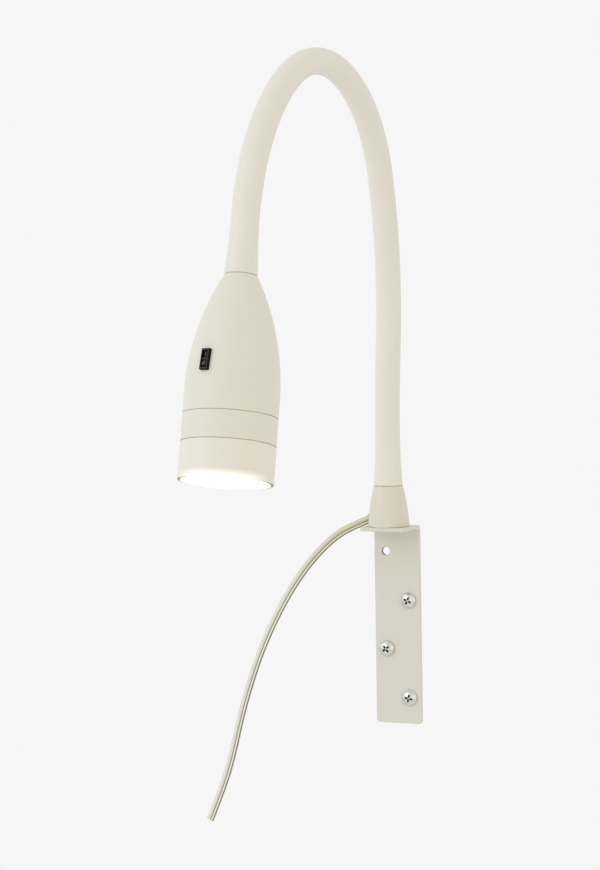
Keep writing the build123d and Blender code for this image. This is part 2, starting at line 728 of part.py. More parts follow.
with BuildPart() as lamp_ring:
    with BuildSketch(section_of(head)):
        with BuildLine():
            Polyline(
                (0, web_start),
                (spigot_bore, web_start),
                (spigot_bore, ring_start - SPIGOT_LENGTH),
                (spigot_radius, ring_start - SPIGOT_LENGTH),
                (spigot_radius, ring_start),
                (HEAD_RADIUS - SEAM_DEPTH, ring_start),
                (HEAD_RADIUS - SEAM_DEPTH, ring_start + SEAM_WIDTH),
                (HEAD_RADIUS, ring_start + SEAM_WIDTH),
                (HEAD_RADIUS, ring_end - SEAM_WIDTH),
                (HEAD_RADIUS - SEAM_DEPTH, ring_end - SEAM_WIDTH),
                (HEAD_RADIUS - SEAM_DEPTH, ring_end),
                (spigot_radius, ring_end),
                (spigot_radius, ring_end + SPIGOT_LENGTH),
                (spigot_bore, ring_end + SPIGOT_LENGTH),
                (spigot_bore, web_end),
                (0, web_end),
                close=True,
            )
        make_face()
    revolve(axis=head_axis)
    with BuildSketch(moved_along(inside, web_start)):
        with Locations(*led_wire_places):
            Circle(LED_WIRE_RADIUS + WIRE_ROOM)
        with Locations(*board_screw_places):
            Circle(BOARD_SCREW_RADIUS + FIT)
    extrude(amount=WEB_THICKNESS, mode=Mode.SUBTRACT)
lamp_ring.part.label = "lamp_ring"
export_step(lamp_ring.part, "parts/lamp_ring.step")

lens_back = rim - LENS_RECESS - LENS_THICKNESS

with BuildPart() as front_ring:
    with BuildSketch(section_of(head)):
        with BuildLine():
            Polyline(
                (bore_radius, ring_end),
                (HEAD_RADIUS - SEAM_CHAMFER, ring_end),
                (HEAD_RADIUS, ring_end + SEAM_CHAMFER),
                (HEAD_RADIUS, rim),
                (bore_radius + LENS_SEAT, rim),
                (bore_radius + LENS_SEAT, lens_back),
                (bore_radius, lens_back),
                close=True,
            )
        make_face()
    revolve(axis=head_axis)
    ring_circles = front_ring.edges().filter_by(GeomType.CIRCLE)
    rim_circles = ring_circles.filter_by(lambda edge: edge.radius > HEAD_RADIUS - FIT)
    fillet(rim_circles.sort_by(head_axis)[-1], radius=RIM_RADIUS)
front_ring.part.label = "front_ring"
export_step(front_ring.part, "parts/front_ring.step")

with BuildPart() as lens:
    with BuildSketch(moved_along(head, lens_back)):
        Circle(bore_radius + LENS_SEAT - FIT)
    extrude(amount=LENS_THICKNESS)
lens.part.label = "lens"
export_step(lens.part, "parts/lens.step")

reflector_mouth = bore_radius - FIT

with BuildPart() as reflector:
    with BuildSketch(section_of(head)):
        with BuildLine():
            Polyline(
                (REFLECTOR_THROAT, board_face),
                (REFLECTOR_THROAT + REFLECTOR_WALL, board_face),
                (reflector_mouth - REFLECTOR_WALL, lens_back - REFLECTOR_WALL),
                (reflector_mouth, lens_back - REFLECTOR_WALL),
                (reflector_mouth, lens_back),
                (reflector_mouth - 2 * REFLECTOR_WALL, lens_back),
                close=True,
            )
        make_face()
    revolve(axis=head_axis)
reflector.part.label = "reflector"
export_step(reflector.part, "parts/reflector.step")

with BuildPart() as led_board:
    with BuildSketch(moved_along(inside, web_end)):
        Circle(BOARD_RADIUS)
        with Locations(*board_screw_places):
            Circle(BOARD_SCREW_RADIUS + FIT, mode=Mode.SUBTRACT)
    extrude(amount=BOARD_THICKNESS)
led_board.part.label = "led_board"
export_step(led_board.part, "parts/led_board.step")

with BuildPart() as led_chip:
    with BuildSketch(moved_along(inside, board_face)):
        RectangleRounded(CHIP_SIDE, CHIP_SIDE, CHIP_THICKNESS)
    extrude(amount=CHIP_THICKNESS)
    with BuildSketch(moved_along(inside, board_face + CHIP_THICKNESS)):
        Circle(DOME_RADIUS)
    extrude(amount=CHIP_THICKNESS)
led_chip.part.label = "led_chip"
export_step(led_chip.part, "parts/led_chip.step")

with BuildPart() as heat_sink:
    with BuildSketch(moved_along(inside, sink_start)):
        Circle(sink_radius)
    extrude(amount=SINK_PLATE)
    with BuildSketch(moved_along(inside, fins_start)):
        Circle(SINK_BOSS_RADIUS)
        with PolarLocations(sink_radius / 2, SINK_FIN_COUNT):
            Rectangle(sink_radius, SINK_FIN_THICKNESS)
    extrude(amount=SINK_FIN_LENGTH)
    with BuildSketch(moved_along(inside, fins_start)):
        Circle(sink_radius - FIT)
    extrude(amount=SINK_FIN_LENGTH + SINK_PLATE, mode=Mode.INTERSECT)
    with BuildSketch(moved_along(inside, sink_start)):
        with Locations(*led_wire_places):
            Circle(LED_WIRE_RADIUS + WIRE_ROOM)
    extrude(amount=SINK_PLATE, mode=Mode.SUBTRACT)
    with BuildSketch(moved_along(inside, web_start)):
        with Locations(*board_screw_places):
            Circle(BOARD_SCREW_RADIUS)
    extrude(amount=-BOARD_SCREW_BITE, mode=Mode.SUBTRACT)
heat_sink.part.label = "heat_sink"
export_step(heat_sink.part, "parts/heat_sink.step")

with BuildPart() as board_screws:
    with BuildSketch(moved_along(inside, board_face)):
        with Locations(*board_screw_places):
            Circle(BOARD_SCREW_HEAD)
    extrude(amount=BOARD_SCREW_HEAD_HEIGHT)
    with BuildSketch(moved_along(inside, board_face)):
        with Locations(*board_screw_places):
            Circle(BOARD_SCREW_RADIUS)
    extrude(amount=-(BOARD_THICKNESS + WEB_THICKNESS + BOARD_SCREW_BITE))
board_screws.part.label = "board_screws"
export_step(board_screws.part, "parts/board_screws.step")


# Driver circuit, standing on the sink in its holder

driver_end = fins_start - HOLDER_LENGTH + HOLDER_GRIP
driver_start = driver_end - DRIVER_BOARD_LENGTH
driver_face = DRIVER_BOARD_THICKNESS / 2 - DRIVER_OFFSET
driver_back = -DRIVER_BOARD_THICKNESS / 2 - DRIVER_OFFSET

with BuildPart() as driver_board:
    with BuildSketch(moved_along(inside, driver_start)):
        with Locations((0, -DRIVER_OFFSET)):
            Rectangle(DRIVER_BOARD_WIDTH, DRIVER_BOARD_THICKNESS)
    extrude(amount=DRIVER_BOARD_LENGTH)
driver_board.part.label = "driver_board"
export_step(driver_board.part, "parts/driver_board.step")

with BuildPart() as driver_holder:
    with BuildSketch(moved_along(inside, fins_start)):
        with Locations((0, -DRIVER_OFFSET)):
            Rectangle(HOLDER_WIDTH, HOLDER_DEPTH)
    extrude(amount=-HOLDER_LENGTH)
    with BuildSketch(moved_along(inside, driver_end + FIT)):
        with Locations((0, -DRIVER_OFFSET)):
            Rectangle(HOLDER_WIDTH, DRIVER_BOARD_THICKNESS + 2 * FIT)
    extrude(amount=-(HOLDER_GRIP + FIT), mode=Mode.SUBTRACT)
driver_holder.part.label = "driver_holder"
export_step(driver_holder.part, "parts/driver_holder.step")

capacitor_middle = driver_start + CAPACITOR_PLACE

with BuildPart() as driver_capacitor:
    with BuildSketch(moved_along(inside, capacitor_middle - CAPACITOR_LENGTH / 2)):
        with Locations((0, driver_back - CAPACITOR_RADIUS)):
            Circle(CAPACITOR_RADIUS)
    extrude(amount=CAPACITOR_LENGTH)
driver_capacitor.part.label = "driver_capacitor"
export_step(driver_capacitor.part, "parts/driver_capacitor.step")

inductor_place = Plane(
    origin=world_point(inside, 0, driver_back, driver_start + INDUCTOR_PLACE),
    x_dir=inside.x_dir,
    z_dir=-inside.y_dir,
)

with BuildPart() as driver_inductor:
    with BuildSketch(inductor_place):
        Circle(INDUCTOR_RADIUS)
    extrude(amount=INDUCTOR_HEIGHT)
    with BuildSketch(moved_along(inductor_place, INDUCTOR_FLANGE)):
        Circle(INDUCTOR_RADIUS)
        Circle(INDUCTOR_RADIUS - INDUCTOR_GROOVE, mode=Mode.SUBTRACT)
    extrude(amount=INDUCTOR_HEIGHT - 2 * INDUCTOR_FLANGE, mode=Mode.SUBTRACT)
driver_inductor.part.label = "driver_inductor"
export_step(driver_inductor.part, "parts/driver_inductor.step")


# Rocker switch

pivot_place = moved_along(switch, -ROCKER_PIVOT_DEPTH)
tilt = radians(ROCKER_TILT)
rocker_place = Plane(
    origin=pivot_place.origin,
    x_dir=switch.x_dir,
    z_dir=switch.z_dir * cos(tilt) + switch.y_dir * sin(tilt),
)
terminal_places = [(0, -TERMINAL_SPACING * row) for row in range(2)]

with BuildPart() as switch_housing:
    with BuildSketch(moved_along(switch, -SWITCH_SINK)):
        Rectangle(SWITCH_WIDTH, SWITCH_HEIGHT)
    extrude(amount=SWITCH_PROUD + SWITCH_SINK)
    face_rim = switch_housing.faces().sort_by(Axis(switch.origin, switch.z_dir))[-1].edges()
    chamfer(face_rim, length=SEAM_CHAMFER)
    with BuildSketch(moved_along(switch, -SWITCH_DEPTH)):
        Rectangle(body_width, body_height)
    extrude(amount=SWITCH_DEPTH - SWITCH_SINK)
    with BuildSketch(moved_along(switch, SWITCH_PROUD)):
        Rectangle(WINDOW_WIDTH, WINDOW_HEIGHT)
    extrude(amount=-(SWITCH_PROUD + SWITCH_DEPTH - SWITCH_FLOOR), mode=Mode.SUBTRACT)
    with BuildSketch(Plane(origin=pivot_place.origin, x_dir=switch.y_dir, z_dir=switch.x_dir)):
        Circle(ROCKER_PIN_RADIUS + PIVOT_FIT)
    extrude(amount=WINDOW_WIDTH / 2 + ROCKER_PIN_LENGTH, both=True, mode=Mode.SUBTRACT)
    with BuildSketch(moved_along(switch, -SWITCH_DEPTH)):
        with Locations(*terminal_places):
            Rectangle(TERMINAL_WIDTH + 2 * FIT, TERMINAL_THICKNESS + 2 * FIT)
    extrude(amount=SWITCH_FLOOR, mode=Mode.SUBTRACT)
switch_housing.part.label = "switch_housing"
export_step(switch_housing.part, "parts/switch_housing.step")

rocker_half = WINDOW_HEIGHT / 2 - ROCKER_END_GAP
rocker_side = Plane(origin=rocker_place.origin, x_dir=rocker_place.y_dir, z_dir=rocker_place.x_dir)

with BuildPart() as switch_rocker:
    with BuildSketch(rocker_side):
        with BuildLine():
            Polyline(
                (-rocker_half, ROCKER_TOP - ROCKER_THICKNESS),
                (-rocker_half, ROCKER_TOP),
                (-ROCKER_RIB_WIDTH / 2, ROCKER_TOP - ROCKER_DIP),
                (-ROCKER_RIB_WIDTH / 2, ROCKER_TOP - ROCKER_DIP + ROCKER_RIB_HEIGHT),
                (ROCKER_RIB_WIDTH / 2, ROCKER_TOP - ROCKER_DIP + ROCKER_RIB_HEIGHT),
                (ROCKER_RIB_WIDTH / 2, ROCKER_TOP - ROCKER_DIP),
                (rocker_half, ROCKER_TOP),
                (rocker_half, ROCKER_TOP - ROCKER_THICKNESS),
                (ROCKER_KEEL_WIDTH / 2, -ROCKER_PIN_RADIUS),
                (-ROCKER_KEEL_WIDTH / 2, -ROCKER_PIN_RADIUS),
                close=True,
            )
        make_face()
    extrude(amount=WINDOW_WIDTH / 2 - FIT, both=True)
    with BuildSketch(rocker_side):
        Circle(ROCKER_PIN_RADIUS)
    extrude(amount=WINDOW_WIDTH / 2 + ROCKER_PIN_LENGTH - PIVOT_FIT, both=True)
    with BuildSketch(moved_along(rocker_place, -ROCKER_PIN_RADIUS)):
        Circle(ROCKER_POST_RADIUS)
    extrude(amount=-ROCKER_POST_LENGTH)
switch_rocker.part.label = "switch_rocker"
export_step(switch_rocker.part, "parts/switch_rocker.step")

with BuildPart() as switch_terminals:
    with BuildSketch(moved_along(switch, -SWITCH_DEPTH - TERMINAL_OUTSIDE)):
        with Locations(*terminal_places):
            Rectangle(TERMINAL_WIDTH, TERMINAL_THICKNESS)
    extrude(amount=TERMINAL_OUTSIDE + SWITCH_FLOOR + TERMINAL_INSIDE)
switch_terminals.part.label = "switch_terminals"
export_step(switch_terminals.part, "parts/switch_terminals.step")


# Wires inside the head


def bent_wire(points):
    """A wire along straight runs with rounded corners."""
    first_run = Plane(origin=points[0], z_dir=points[1] - points[0])
    with BuildPart() as wire:
        with BuildLine():
            FilletPolyline(*points, radius=INLET_TURN_RADIUS)
        with BuildSketch(first_run):
            Circle(WIRE_RADIUS)
        sweep()
    return wire.part


neck_mouth = NECK_SHANK_LENGTH + WIRE_RADIUS
wire_side = WIRE_SPACING / 2
terminal_tips = [
    world_point(switch, x, y, -SWITCH_DEPTH - TERMINAL_OUTSIDE) for x, y in terminal_places
]
board_line = driver_face + WIRE_RADIUS
supply_wire = [
    world_point(head, wire_side, 0, -FERRULE_LEDGE),
    world_point(head, wire_side, 0, neck_mouth),
    world_point(inside, wire_side, board_line, driver_start + SUPPLY_LAP_START),
    world_point(inside, wire_side, board_line, driver_start + SUPPLY_LAP_START + SUPPLY_LAP),
]
switched_wire = [
    world_point(head, -wire_side, 0, -FERRULE_LEDGE),
    world_point(head, -wire_side, 0, neck_mouth),
    terminal_tips[0] - inside.y_dir * WIRE_RADIUS - inside.z_dir * TERMINAL_RUN,
    terminal_tips[0] - inside.y_dir * WIRE_RADIUS,
]

head_wire_pair = [bent_wire(supply_wire), bent_wire(switched_wire)]

with BuildPart() as head_wires:
    add(head_wire_pair)
head_wires.part.label = "head_wires"
export_step(head_wires.part, "parts/head_wires.step")

with BuildPart() as led_wires:
    with BuildSketch(moved_along(inside, driver_end - LED_WIRE_LAP)):
        with Locations(*led_wire_places):
            Circle(LED_WIRE_RADIUS)
    extrude(amount=web_end - driver_end + LED_WIRE_LAP)
led_wires.part.label = "led_wires"
export_step(led_wires.part, "parts/led_wires.step")
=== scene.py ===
"""Looks of a small wall reading lamp: cream bullet head, flexible arm, strip bracket and clear cord.

Everything is in metres in the lamp's own frame: the wall is the plane y = 0, the room is
towards -Y and +Z is up. The arm's arch lies in the plane x = 0.
"""

import json
import math

import bmesh
import bpy
from mathutils import Matrix, Vector


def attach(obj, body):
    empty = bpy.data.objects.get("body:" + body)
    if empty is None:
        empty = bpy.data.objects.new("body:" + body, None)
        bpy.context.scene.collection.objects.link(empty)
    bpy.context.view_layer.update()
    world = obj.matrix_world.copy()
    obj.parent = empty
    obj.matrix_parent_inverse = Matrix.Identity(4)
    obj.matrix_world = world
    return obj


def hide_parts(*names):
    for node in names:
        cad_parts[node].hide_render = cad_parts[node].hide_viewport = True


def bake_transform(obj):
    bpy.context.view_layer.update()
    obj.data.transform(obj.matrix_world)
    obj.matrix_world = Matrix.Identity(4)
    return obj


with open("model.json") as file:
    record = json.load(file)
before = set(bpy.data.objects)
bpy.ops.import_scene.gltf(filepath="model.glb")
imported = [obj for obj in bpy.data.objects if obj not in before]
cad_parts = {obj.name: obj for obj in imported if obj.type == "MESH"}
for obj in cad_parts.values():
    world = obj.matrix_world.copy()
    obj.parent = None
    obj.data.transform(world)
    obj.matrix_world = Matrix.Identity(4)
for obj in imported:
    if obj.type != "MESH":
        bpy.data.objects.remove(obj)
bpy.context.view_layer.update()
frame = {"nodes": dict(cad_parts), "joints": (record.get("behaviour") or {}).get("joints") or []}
nodes = frame["nodes"]

bl_info = {
    "name": "Wall reading lamp",
    "version": (1, 0, 0),
    "blender": (4, 5, 0),
    "location": "View3D > Sidebar > Lamp",
    "description": "Builds the finishes and soft parts of a wall reading lamp around its frame",
    "category": "Object",
}

MM = 0.001

# The lamp's main places, from the shelf up through the arm
SHELF_TOP = 52 * MM
AXIS_REACH = 13 * MM
CONE_HEIGHT = 21.3 * MM
ARM_END_LENGTH = 24 * MM
LINK_LENGTH = 45.4 * MM
HEAD_LENGTH = 92.5 * MM

# How far each link of the arm turns, in degrees, from its foot to its head
LINK_BENDS = (-6.9, 11.6, 13.2, 38.5, 30.6, 30.9, 24.3, 25.3)

# The sleeve: its rounded lips, and how steeply its ends swell over the ferrules
LIP_RADIUS = 0.35 * MM
LIP_SHARES = (0.1, 0.3, 0.6, 1.0)
SWELL_POWER = 1.55

# The glow painted into the coat for the light that bleeds over the head's rim: how far up the
# ring it fades, how many degrees its middle lies to the right of the arch's plane, and how far in
# front of the head's axis it starts and is full
BLEED_LENGTH = 4.5 * MM
BLEED_TURN = 18.0
BLEED_SIDE = 6 * MM
BLEED_FULL = 20 * MM
# How far a surface has to face down the head's axis to be painted darker as shade on the rim's edge
RIM_FACING = (0.2, 0.5)

# The cord's route on the plane through the arm's axis, in millimetres: left of the axis and
# above the shelf
CORD_ROUTE = (
    (10.69, 3.4),
    (17.6, 0.8),
    (29.6, -5.2),
    (43.4, -18.2),
    (54.6, -32.8),
    (64.8, -49.8),
    (73.4, -67.6),
    (80.2, -85.6),
    (86.0, -104.0),
    (90.6, -122.4),
    (96.0, -139.6),
    (104.9, -159.8),
)
# Half the width of the web between the cord's lobes, as a share of a lobe's radius
CORD_WAIST = 0.62
# The heights between which the cord turns darker and yellower towards its top
TOP_TINT_HEIGHTS = (10 * MM, 50 * MM)

# The switch: how many degrees it leans from the head's axis, and its rocker's face
SWITCH_SLOPE = 6.508
ROCKER_TILT = 7.0
ROCKER_TOP = 1.9 * MM
ROCKER_DIP = 0.55 * MM
ROCKER_RIB = 1.0 * MM
ROCKER_HALF = 3.6 * MM
# How far the rib's painted highlight fades out, and how squarely the bezel has to face out to be painted as
# lit
RIB_HIGHLIGHT_FADE = 0.12 * MM
BEZEL_FACING = (0.9, 0.97)

# The marks on the rocker: a bar on one half and a ring on the other
MARK_PLACE = 2.05 * MM
MARK_WIDTH = 0.34 * MM
MARK_HEIGHT = 0.06 * MM
MARK_FACETS = 8
BAR_POINTS = (-0.75 * MM, -0.6 * MM, 0.0, 0.6 * MM, 0.75 * MM)
RING_RADII = (0.62 * MM, 0.78 * MM)
RING_POINTS = 28

# The strip's holes in millimetres, across and up. The lower three have screws, each turned its
# own way, in degrees.
WALL_HOLES = ((-6.1, 38.0), (6.1, 12.5), (-6.1, -13.0), (6.1, -38.5))
SCREW_TURNS = (24.0, 52.0, 12.0)
WALL_HOLE_RADIUS = 2.15 * MM
# How far from a hole's axis the painted shade reaches
HOLE_SHADE_RADIUS = 2.3 * MM

# The strip itself
PLATE_WIDTH = 25 * MM
PLATE_THICKNESS = 2 * MM
PLATE_FOOT = -52 * MM
SHELF_REACH = 23 * MM
SHELF_HOLE_RADIUS = 3.8 * MM
BEND_INSIDE_RADIUS = 0.8 * MM
PLATE_CORNER_RADIUS = 1.8 * MM
SHELF_CORNER_RADIUS = 1.6 * MM
CORNER_STEPS = 8
HOLE_STEPS = 48
FOLD_STEPS = 8

# A wall screw: its domed head, the cross in it, and its shank and thread
HEAD_RADIUS = 4.0 * MM
HEAD_RIM = 0.8 * MM
HEAD_HEIGHT = 2.6 * MM
HEAD_CHAMFER = 0.25 * MM
HEAD_EDGE = 0.12 * MM
CROSS_SPAN = 4.8 * MM
CROSS_WIDTH = 1.15 * MM
CROSS_DEPTH = 1.5 * MM
# Where the head's surface counts as the cross's inside: between two radii, off the seat and
# under the dome
CROSS_INSIDE = (0.6 * MM, 2.7 * MM)
CROSS_OFF_SEAT = 0.3 * MM
CROSS_UNDER = 0.2 * MM
SHANK_RADIUS = 2.0 * MM
SHANK_START = -0.1 * MM
TIP_START = 12 * MM
TIP_END = 15.9 * MM
TIP_RADIUS = 0.05 * MM
THREAD_STEPS = 12
THREAD_FLANK = 0.22

# The floor in metres, how near to and far from the lamp it turns into plain background, and how
# much of it is background there. It lies far enough down for the lamp to be seen from below.
FLOOR_REACH = 6.0
FLOOR_HEIGHT = -0.9
FLOOR_FADE = (0.5, 1.4)
FLOOR_GLOW = (0.86, 1.0)

# The studio's soft lights: the point that they face, and each one's place and width in metres
LIGHT_AIM = (0, -0.09, 0.1)
KEY_PLACE, KEY_WIDTH = (-1.1, -1.2, 0.8), 1.2
EDGE_PLACE, EDGE_WIDTH = (-1.2, 0.05, 0.25), 0.9
FILL_PLACE, FILL_WIDTH = (1.3, -1.1, 0.2), 1.4

# The camera: its angles in degrees, its aim and distance in millimetres, and half the picture's
# height and the lens's focal length, both in pixels of the picture
CAMERA_AZIMUTH, CAMERA_ELEVATION, CAMERA_ROLL = 23.184, 2.931, -0.961
CAMERA_AIM = (-20.216, -80.0, 102.562)
CAMERA_DISTANCE = 1127.894
PICTURE_HALF_HEIGHT = 435
FOCAL_LENGTH = 2299.735


def linear(hex_code):
    """An sRGB hex colour as linear red, green, blue and alpha."""
    channels = [int(hex_code[i : i + 2], 16) / 255 for i in (1, 3, 5)]
    bright = [c / 12.92 if c <= 0.04045 else ((c + 0.055) / 1.055) ** 2.4 for c in channels]
    return (*bright, 1.0)


def darker(shade, share):
    """The same colour, darkened by a share."""
    return (*[c * (1 - share) for c in shade[:3]], 1.0)


def colour_property(name, description, hex_code):
    """A colour that the lamp's maker could change."""
    return bpy.props.FloatVectorProperty(
        name=name, description=description, subtype="COLOR", size=4, min=0, max=1, default=linear(hex_code)
    )


def length_property(name, description, millimetres):
    """A length that the lamp's maker could change."""
    return bpy.props.FloatProperty(
        name=name,
        description=description,
        subtype="DISTANCE",
        unit="LENGTH",
        min=0,
        precision=5,
        default=millimetres * MM,
    )


def level_property(name, description, default):
    """A strength of light that the lamp's maker could change."""
    return bpy.props.FloatProperty(name=name, description=description, min=0, default=default)


class LampColours(bpy.types.PropertyGroup):
    """Colours of what shows from outside."""

    paint: colour_property("Head paint", "Powder coat on the head and its rings", "#E3DFCF")
    # The front ring has the head's coat, painted lighter and warmer here as light from its mouth.
    lit: colour_property("Front ring paint", "Powder coat on the front ring, warmed by the light", "#EAE4D5")
    # Painted shade on the rounded rim, where it faces down.
    rim: colour_property("Rim edge", "The thin coat over the front ring's rim", "#A8A07C")
    # The cone has the head's coat, painted darker and warmer here as shade.
    foot: colour_property("Foot paint", "Powder coat on the base cone", "#DED7C4")
    sleeve: colour_property("Arm sleeve", "Soft sleeve over the flexible arm", "#E8E3D4")
    strip: colour_property("Bracket paint", "Powder coat on the wall strip", "#DAD8C8")
    jacket: colour_property("Cord jacket", "The clear cord over its strands", "#F3F1E0")
    # Painted shade and highlight across the cord: a shade line where its lobes meet and by its upper edge, a
    # narrow highlight beyond the valley, and shade along its lower edge.
    cord_line: colour_property("Cord valley", "The line where the cord's lobes meet", "#8E8C6C")
    cord_highlight: colour_property("Cord band", "The narrow pale band beyond the valley", "#FAF8E6")
    # A darker, yellower tint towards the cord's top.
    cord_top_tint: colour_property("Aged cord", "Yellowing of the cord near the lamp", "#DDD9A8")
    cord_edge_shade: colour_property("Cord edge", "The cord's edge, where it bends the light most", "#77725A")
    tinned: colour_property("Tinned strands", "The paler strands inside the clear cord", "#E2DFCD")
    copper: colour_property("Bare strands", "The darker strands inside the clear cord", "#A39B6E")
    switch_black: colour_property("Switch rocker", "Plastic of the switch's rocker", "#060605")
    switch_grey: colour_property("Switch bezel", "Plastic of the switch's body", "#0A0A08")
    # Painted light: the lighter grey of the bezel's front face and of the highlight along the rocker's rib.
    switch_highlight: colour_property("Switch rib", "Worn front of the bezel and the rocker's rib", "#3B382D")
    marks: colour_property("Switch marks", "Printed marks on the switch", "#77735F")
    light: colour_property("Light", "Colour of the lit lens", "#FFFBF2")


class LampSizes(bpy.types.PropertyGroup):
    """Sizes of what this file makes."""

    sleeve_radius: length_property("Sleeve radius", "Radius of the arm along its length", 6.4)
    sleeve_end_radius: length_property("Sleeve end radius", "Radius where the sleeve is stretched", 7.45)
    sleeve_facets: bpy.props.IntProperty(
        name="Sleeve facets", description="Faces round the sleeve", min=12, max=128, default=64
    )
    sleeve_step: length_property("Sleeve step", "Distance between rings of the sleeve", 1.2)
    edge_break: length_property("Edge break", "Rounding of the strip's punched edges", 0.3)
    cord_width: length_property("Cord width", "Across both lobes of the cord", 4.2)
    cord_thickness: length_property("Cord thickness", "Through one lobe of the cord", 2.1)
    strand_radius: length_property("Strand radius", "Radius of each bundle of strands", 0.8)
    thread_pitch: length_property("Thread pitch", "Distance between turns of a wall screw's thread", 1.8)
    thread_depth: length_property("Thread depth", "Height of a wall screw's thread", 0.55)


class StudioLevels(bpy.types.PropertyGroup):
    """Light and background."""

    backdrop: colour_property("Backdrop", "Colour behind the lamp", "#F6F6F6")
    key_shade: colour_property("Key shade", "Colour of the large soft light", "#DEEAFF")
    fill_shade: colour_property("Fill shade", "Colour of the second soft light", "#FFE2BC")
    bleed_shade: colour_property("Bleed shade", "Colour of the light over the head's rim", "#FFFFFF")
    room_light: level_property("Room light", "Even light from all round", 0.855)
    key_light: level_property("Key light", "Power of the large soft light in watts", 5.5)
    fill_light: level_property("Fill light", "Power of the second soft light in watts", 1.75)
    edge_light: level_property("Edge light", "Power of the light along the left edges", 0.8)
    mouth_light: level_property("Mouth light", "Light that bleeds over the head's rim", 0.38)
    lamp_light: level_property("Lamp light", "Strength of the lit lens", 5.0)


# Materials

# The colour sockets of a Mix node, which has several of each name
MIX_FIRST, MIX_SECOND, MIX_RESULT = 6, 7, 2


def add_node(tree, kind, values=None, links=None, **settings):
    """Adds a node, sets its options and socket values, and joins it to earlier sockets."""
    node = tree.nodes.new(kind)
    for option, value in settings.items():
        setattr(node, option, value)
    for socket, value in (values or {}).items():
        node.inputs[socket].default_value = value
    for socket, source in (links or {}).items():
        tree.links.new(source, node.inputs[socket])
    return node


def bare_material(name, values):
    """A new material with its main shader, set to some values, and the piece's own coordinates."""
    material = bpy.data.materials.new(name)
    material.use_nodes = True
    tree = material.node_tree
    tree.nodes.clear()
    shader = add_node(tree, "ShaderNodeBsdfPrincipled", values)
    add_node(tree, "ShaderNodeOutputMaterial", links={"Surface": shader.outputs["BSDF"]})
    place = add_node(tree, "ShaderNodeTexCoord").outputs["Object"]
    return material, tree, shader, place


def feed(shader, sources):
    """Joins sockets to a shader's inputs."""
    for name, source in sources.items():
        shader.id_data.links.new(source, shader.inputs[name])


def speckled(
    name,
    shade,
    patch_shade,
    rough=(0.4, 0.5),
    patch=40.0,
    grain=0.6,
    relief=0.01,
    metallic=0.0,
    specular=0.5,
):
    """A solid finish with slow colour patches and a fine surface grain, both in millimetres."""
    values = {"Metallic": metallic, "Specular IOR Level": specular}
    material, tree, shader, place = bare_material(name, values)
    coarse = {"Scale": 1 / (patch * MM), "Detail": 3.0}
    patches = add_node(tree, "ShaderNodeTexNoise", coarse, {"Vector": place})
    tone = add_node(
        tree,
        "ShaderNodeMix",
        {MIX_FIRST: shade, MIX_SECOND: patch_shade},
        {0: patches.outputs["Fac"]},
        data_type="RGBA",
    )
    grains = {"Scale": 1 / (grain * MM), "Detail": 2.0}
    height = add_node(tree, "ShaderNodeTexNoise", grains, {"Vector": place}).outputs["Fac"]
    limits = {"To Min": rough[0], "To Max": rough[1]}
    spread = add_node(tree, "ShaderNodeMapRange", limits, {"Value": height})
    bump = add_node(tree, "ShaderNodeBump", {"Strength": 1.0, "Distance": relief * MM}, {"Height": height})
    feed(shader, {"Base Color": tone.outputs[MIX_RESULT], "Roughness": spread.outputs["Result"]})
    feed(shader, {"Normal": bump.outputs["Normal"]})
    return material


def main_shader(material):
    """The shader that a material was made with."""
    return next(node for node in material.node_tree.nodes if node.type == "BSDF_PRINCIPLED")


def tint(material, mask, shade):
    """Turns a finish to another colour where a mask is set."""
    shader = main_shader(material)
    plain = shader.inputs["Base Color"].links[0].from_socket
    links = {0: mask, MIX_FIRST: plain}
    mixed = add_node(material.node_tree, "ShaderNodeMix", {MIX_SECOND: shade}, links, data_type="RGBA")
    feed(shader, {"Base Color": mixed.outputs[MIX_RESULT]})


def tint_where(material, attribute, shade):
    """Turns a finish to another colour where the attribute of a face is set."""
    mask = add_node(material.node_tree, "ShaderNodeAttribute", attribute_name=attribute)
    tint(material, mask.outputs["Fac"], shade)


def mark_faces(mesh, attribute, chosen):
    """Sets an attribute on the faces of a mesh whose middles are chosen."""
    values = [float(chosen(face.center)) for face in mesh.polygons]
    mesh.attributes.new(attribute, "FLOAT", "FACE").data.foreach_set("value", values)


def share_along(tree, vector, way, limits, **settings):
    """A mask that rises from 0 to 1 while a vector's reach along a way goes between two limits."""
    reach = add_node(tree, "ShaderNodeVectorMath", {1: way}, {0: vector}, operation="DOT_PRODUCT")
    values, links = {"From Min": limits[0], "From Max": limits[1]}, {"Value": reach.outputs["Value"]}
    return add_node(tree, "ShaderNodeMapRange", values, links, **settings).outputs["Result"]


def paint_material(name, shade):
    """Satin powder coat on metal: sprayed and baked, so it has a slight orange peel."""
    coat = {"rough": (0.38, 0.5), "patch": 45.0, "grain": 1.1, "relief": 0.012}
    return speckled(name, shade, darker(shade, 0.03), **coat)


def dress(node, material):
    """Gives a part of the frame its finish."""
    part = nodes[node]
    if not part.material_slots:
        part.data.materials.append(material)
    for slot in part.material_slots:
        slot.material = material


def dress_all(finishes):
    """Gives parts their finishes, each with its name, two shades, settings and parts."""
    for name, shade, patch_shade, settings, parts in finishes:
        finish = speckled(name, linear(shade), linear(patch_shade), **settings)
        for part in parts:
            dress(part, finish)


# Meshes


def new_piece(name, data, material=None):
    """A piece of the lamp or of its stage, made from a mesh, a curve, a light or a camera."""
    piece = bpy.data.objects.new(name, data)
    bpy.context.scene.collection.objects.link(piece)
    if material:
        data.materials.clear()
        data.materials.append(material)
    return piece


def evaluated_mesh(piece):
    """A plain mesh of a piece with its modifiers, or of a curve with its section."""
    bpy.context.view_layer.update()
    evaluated = piece.evaluated_get(bpy.context.evaluated_depsgraph_get())
    return bpy.data.meshes.new_from_object(evaluated)


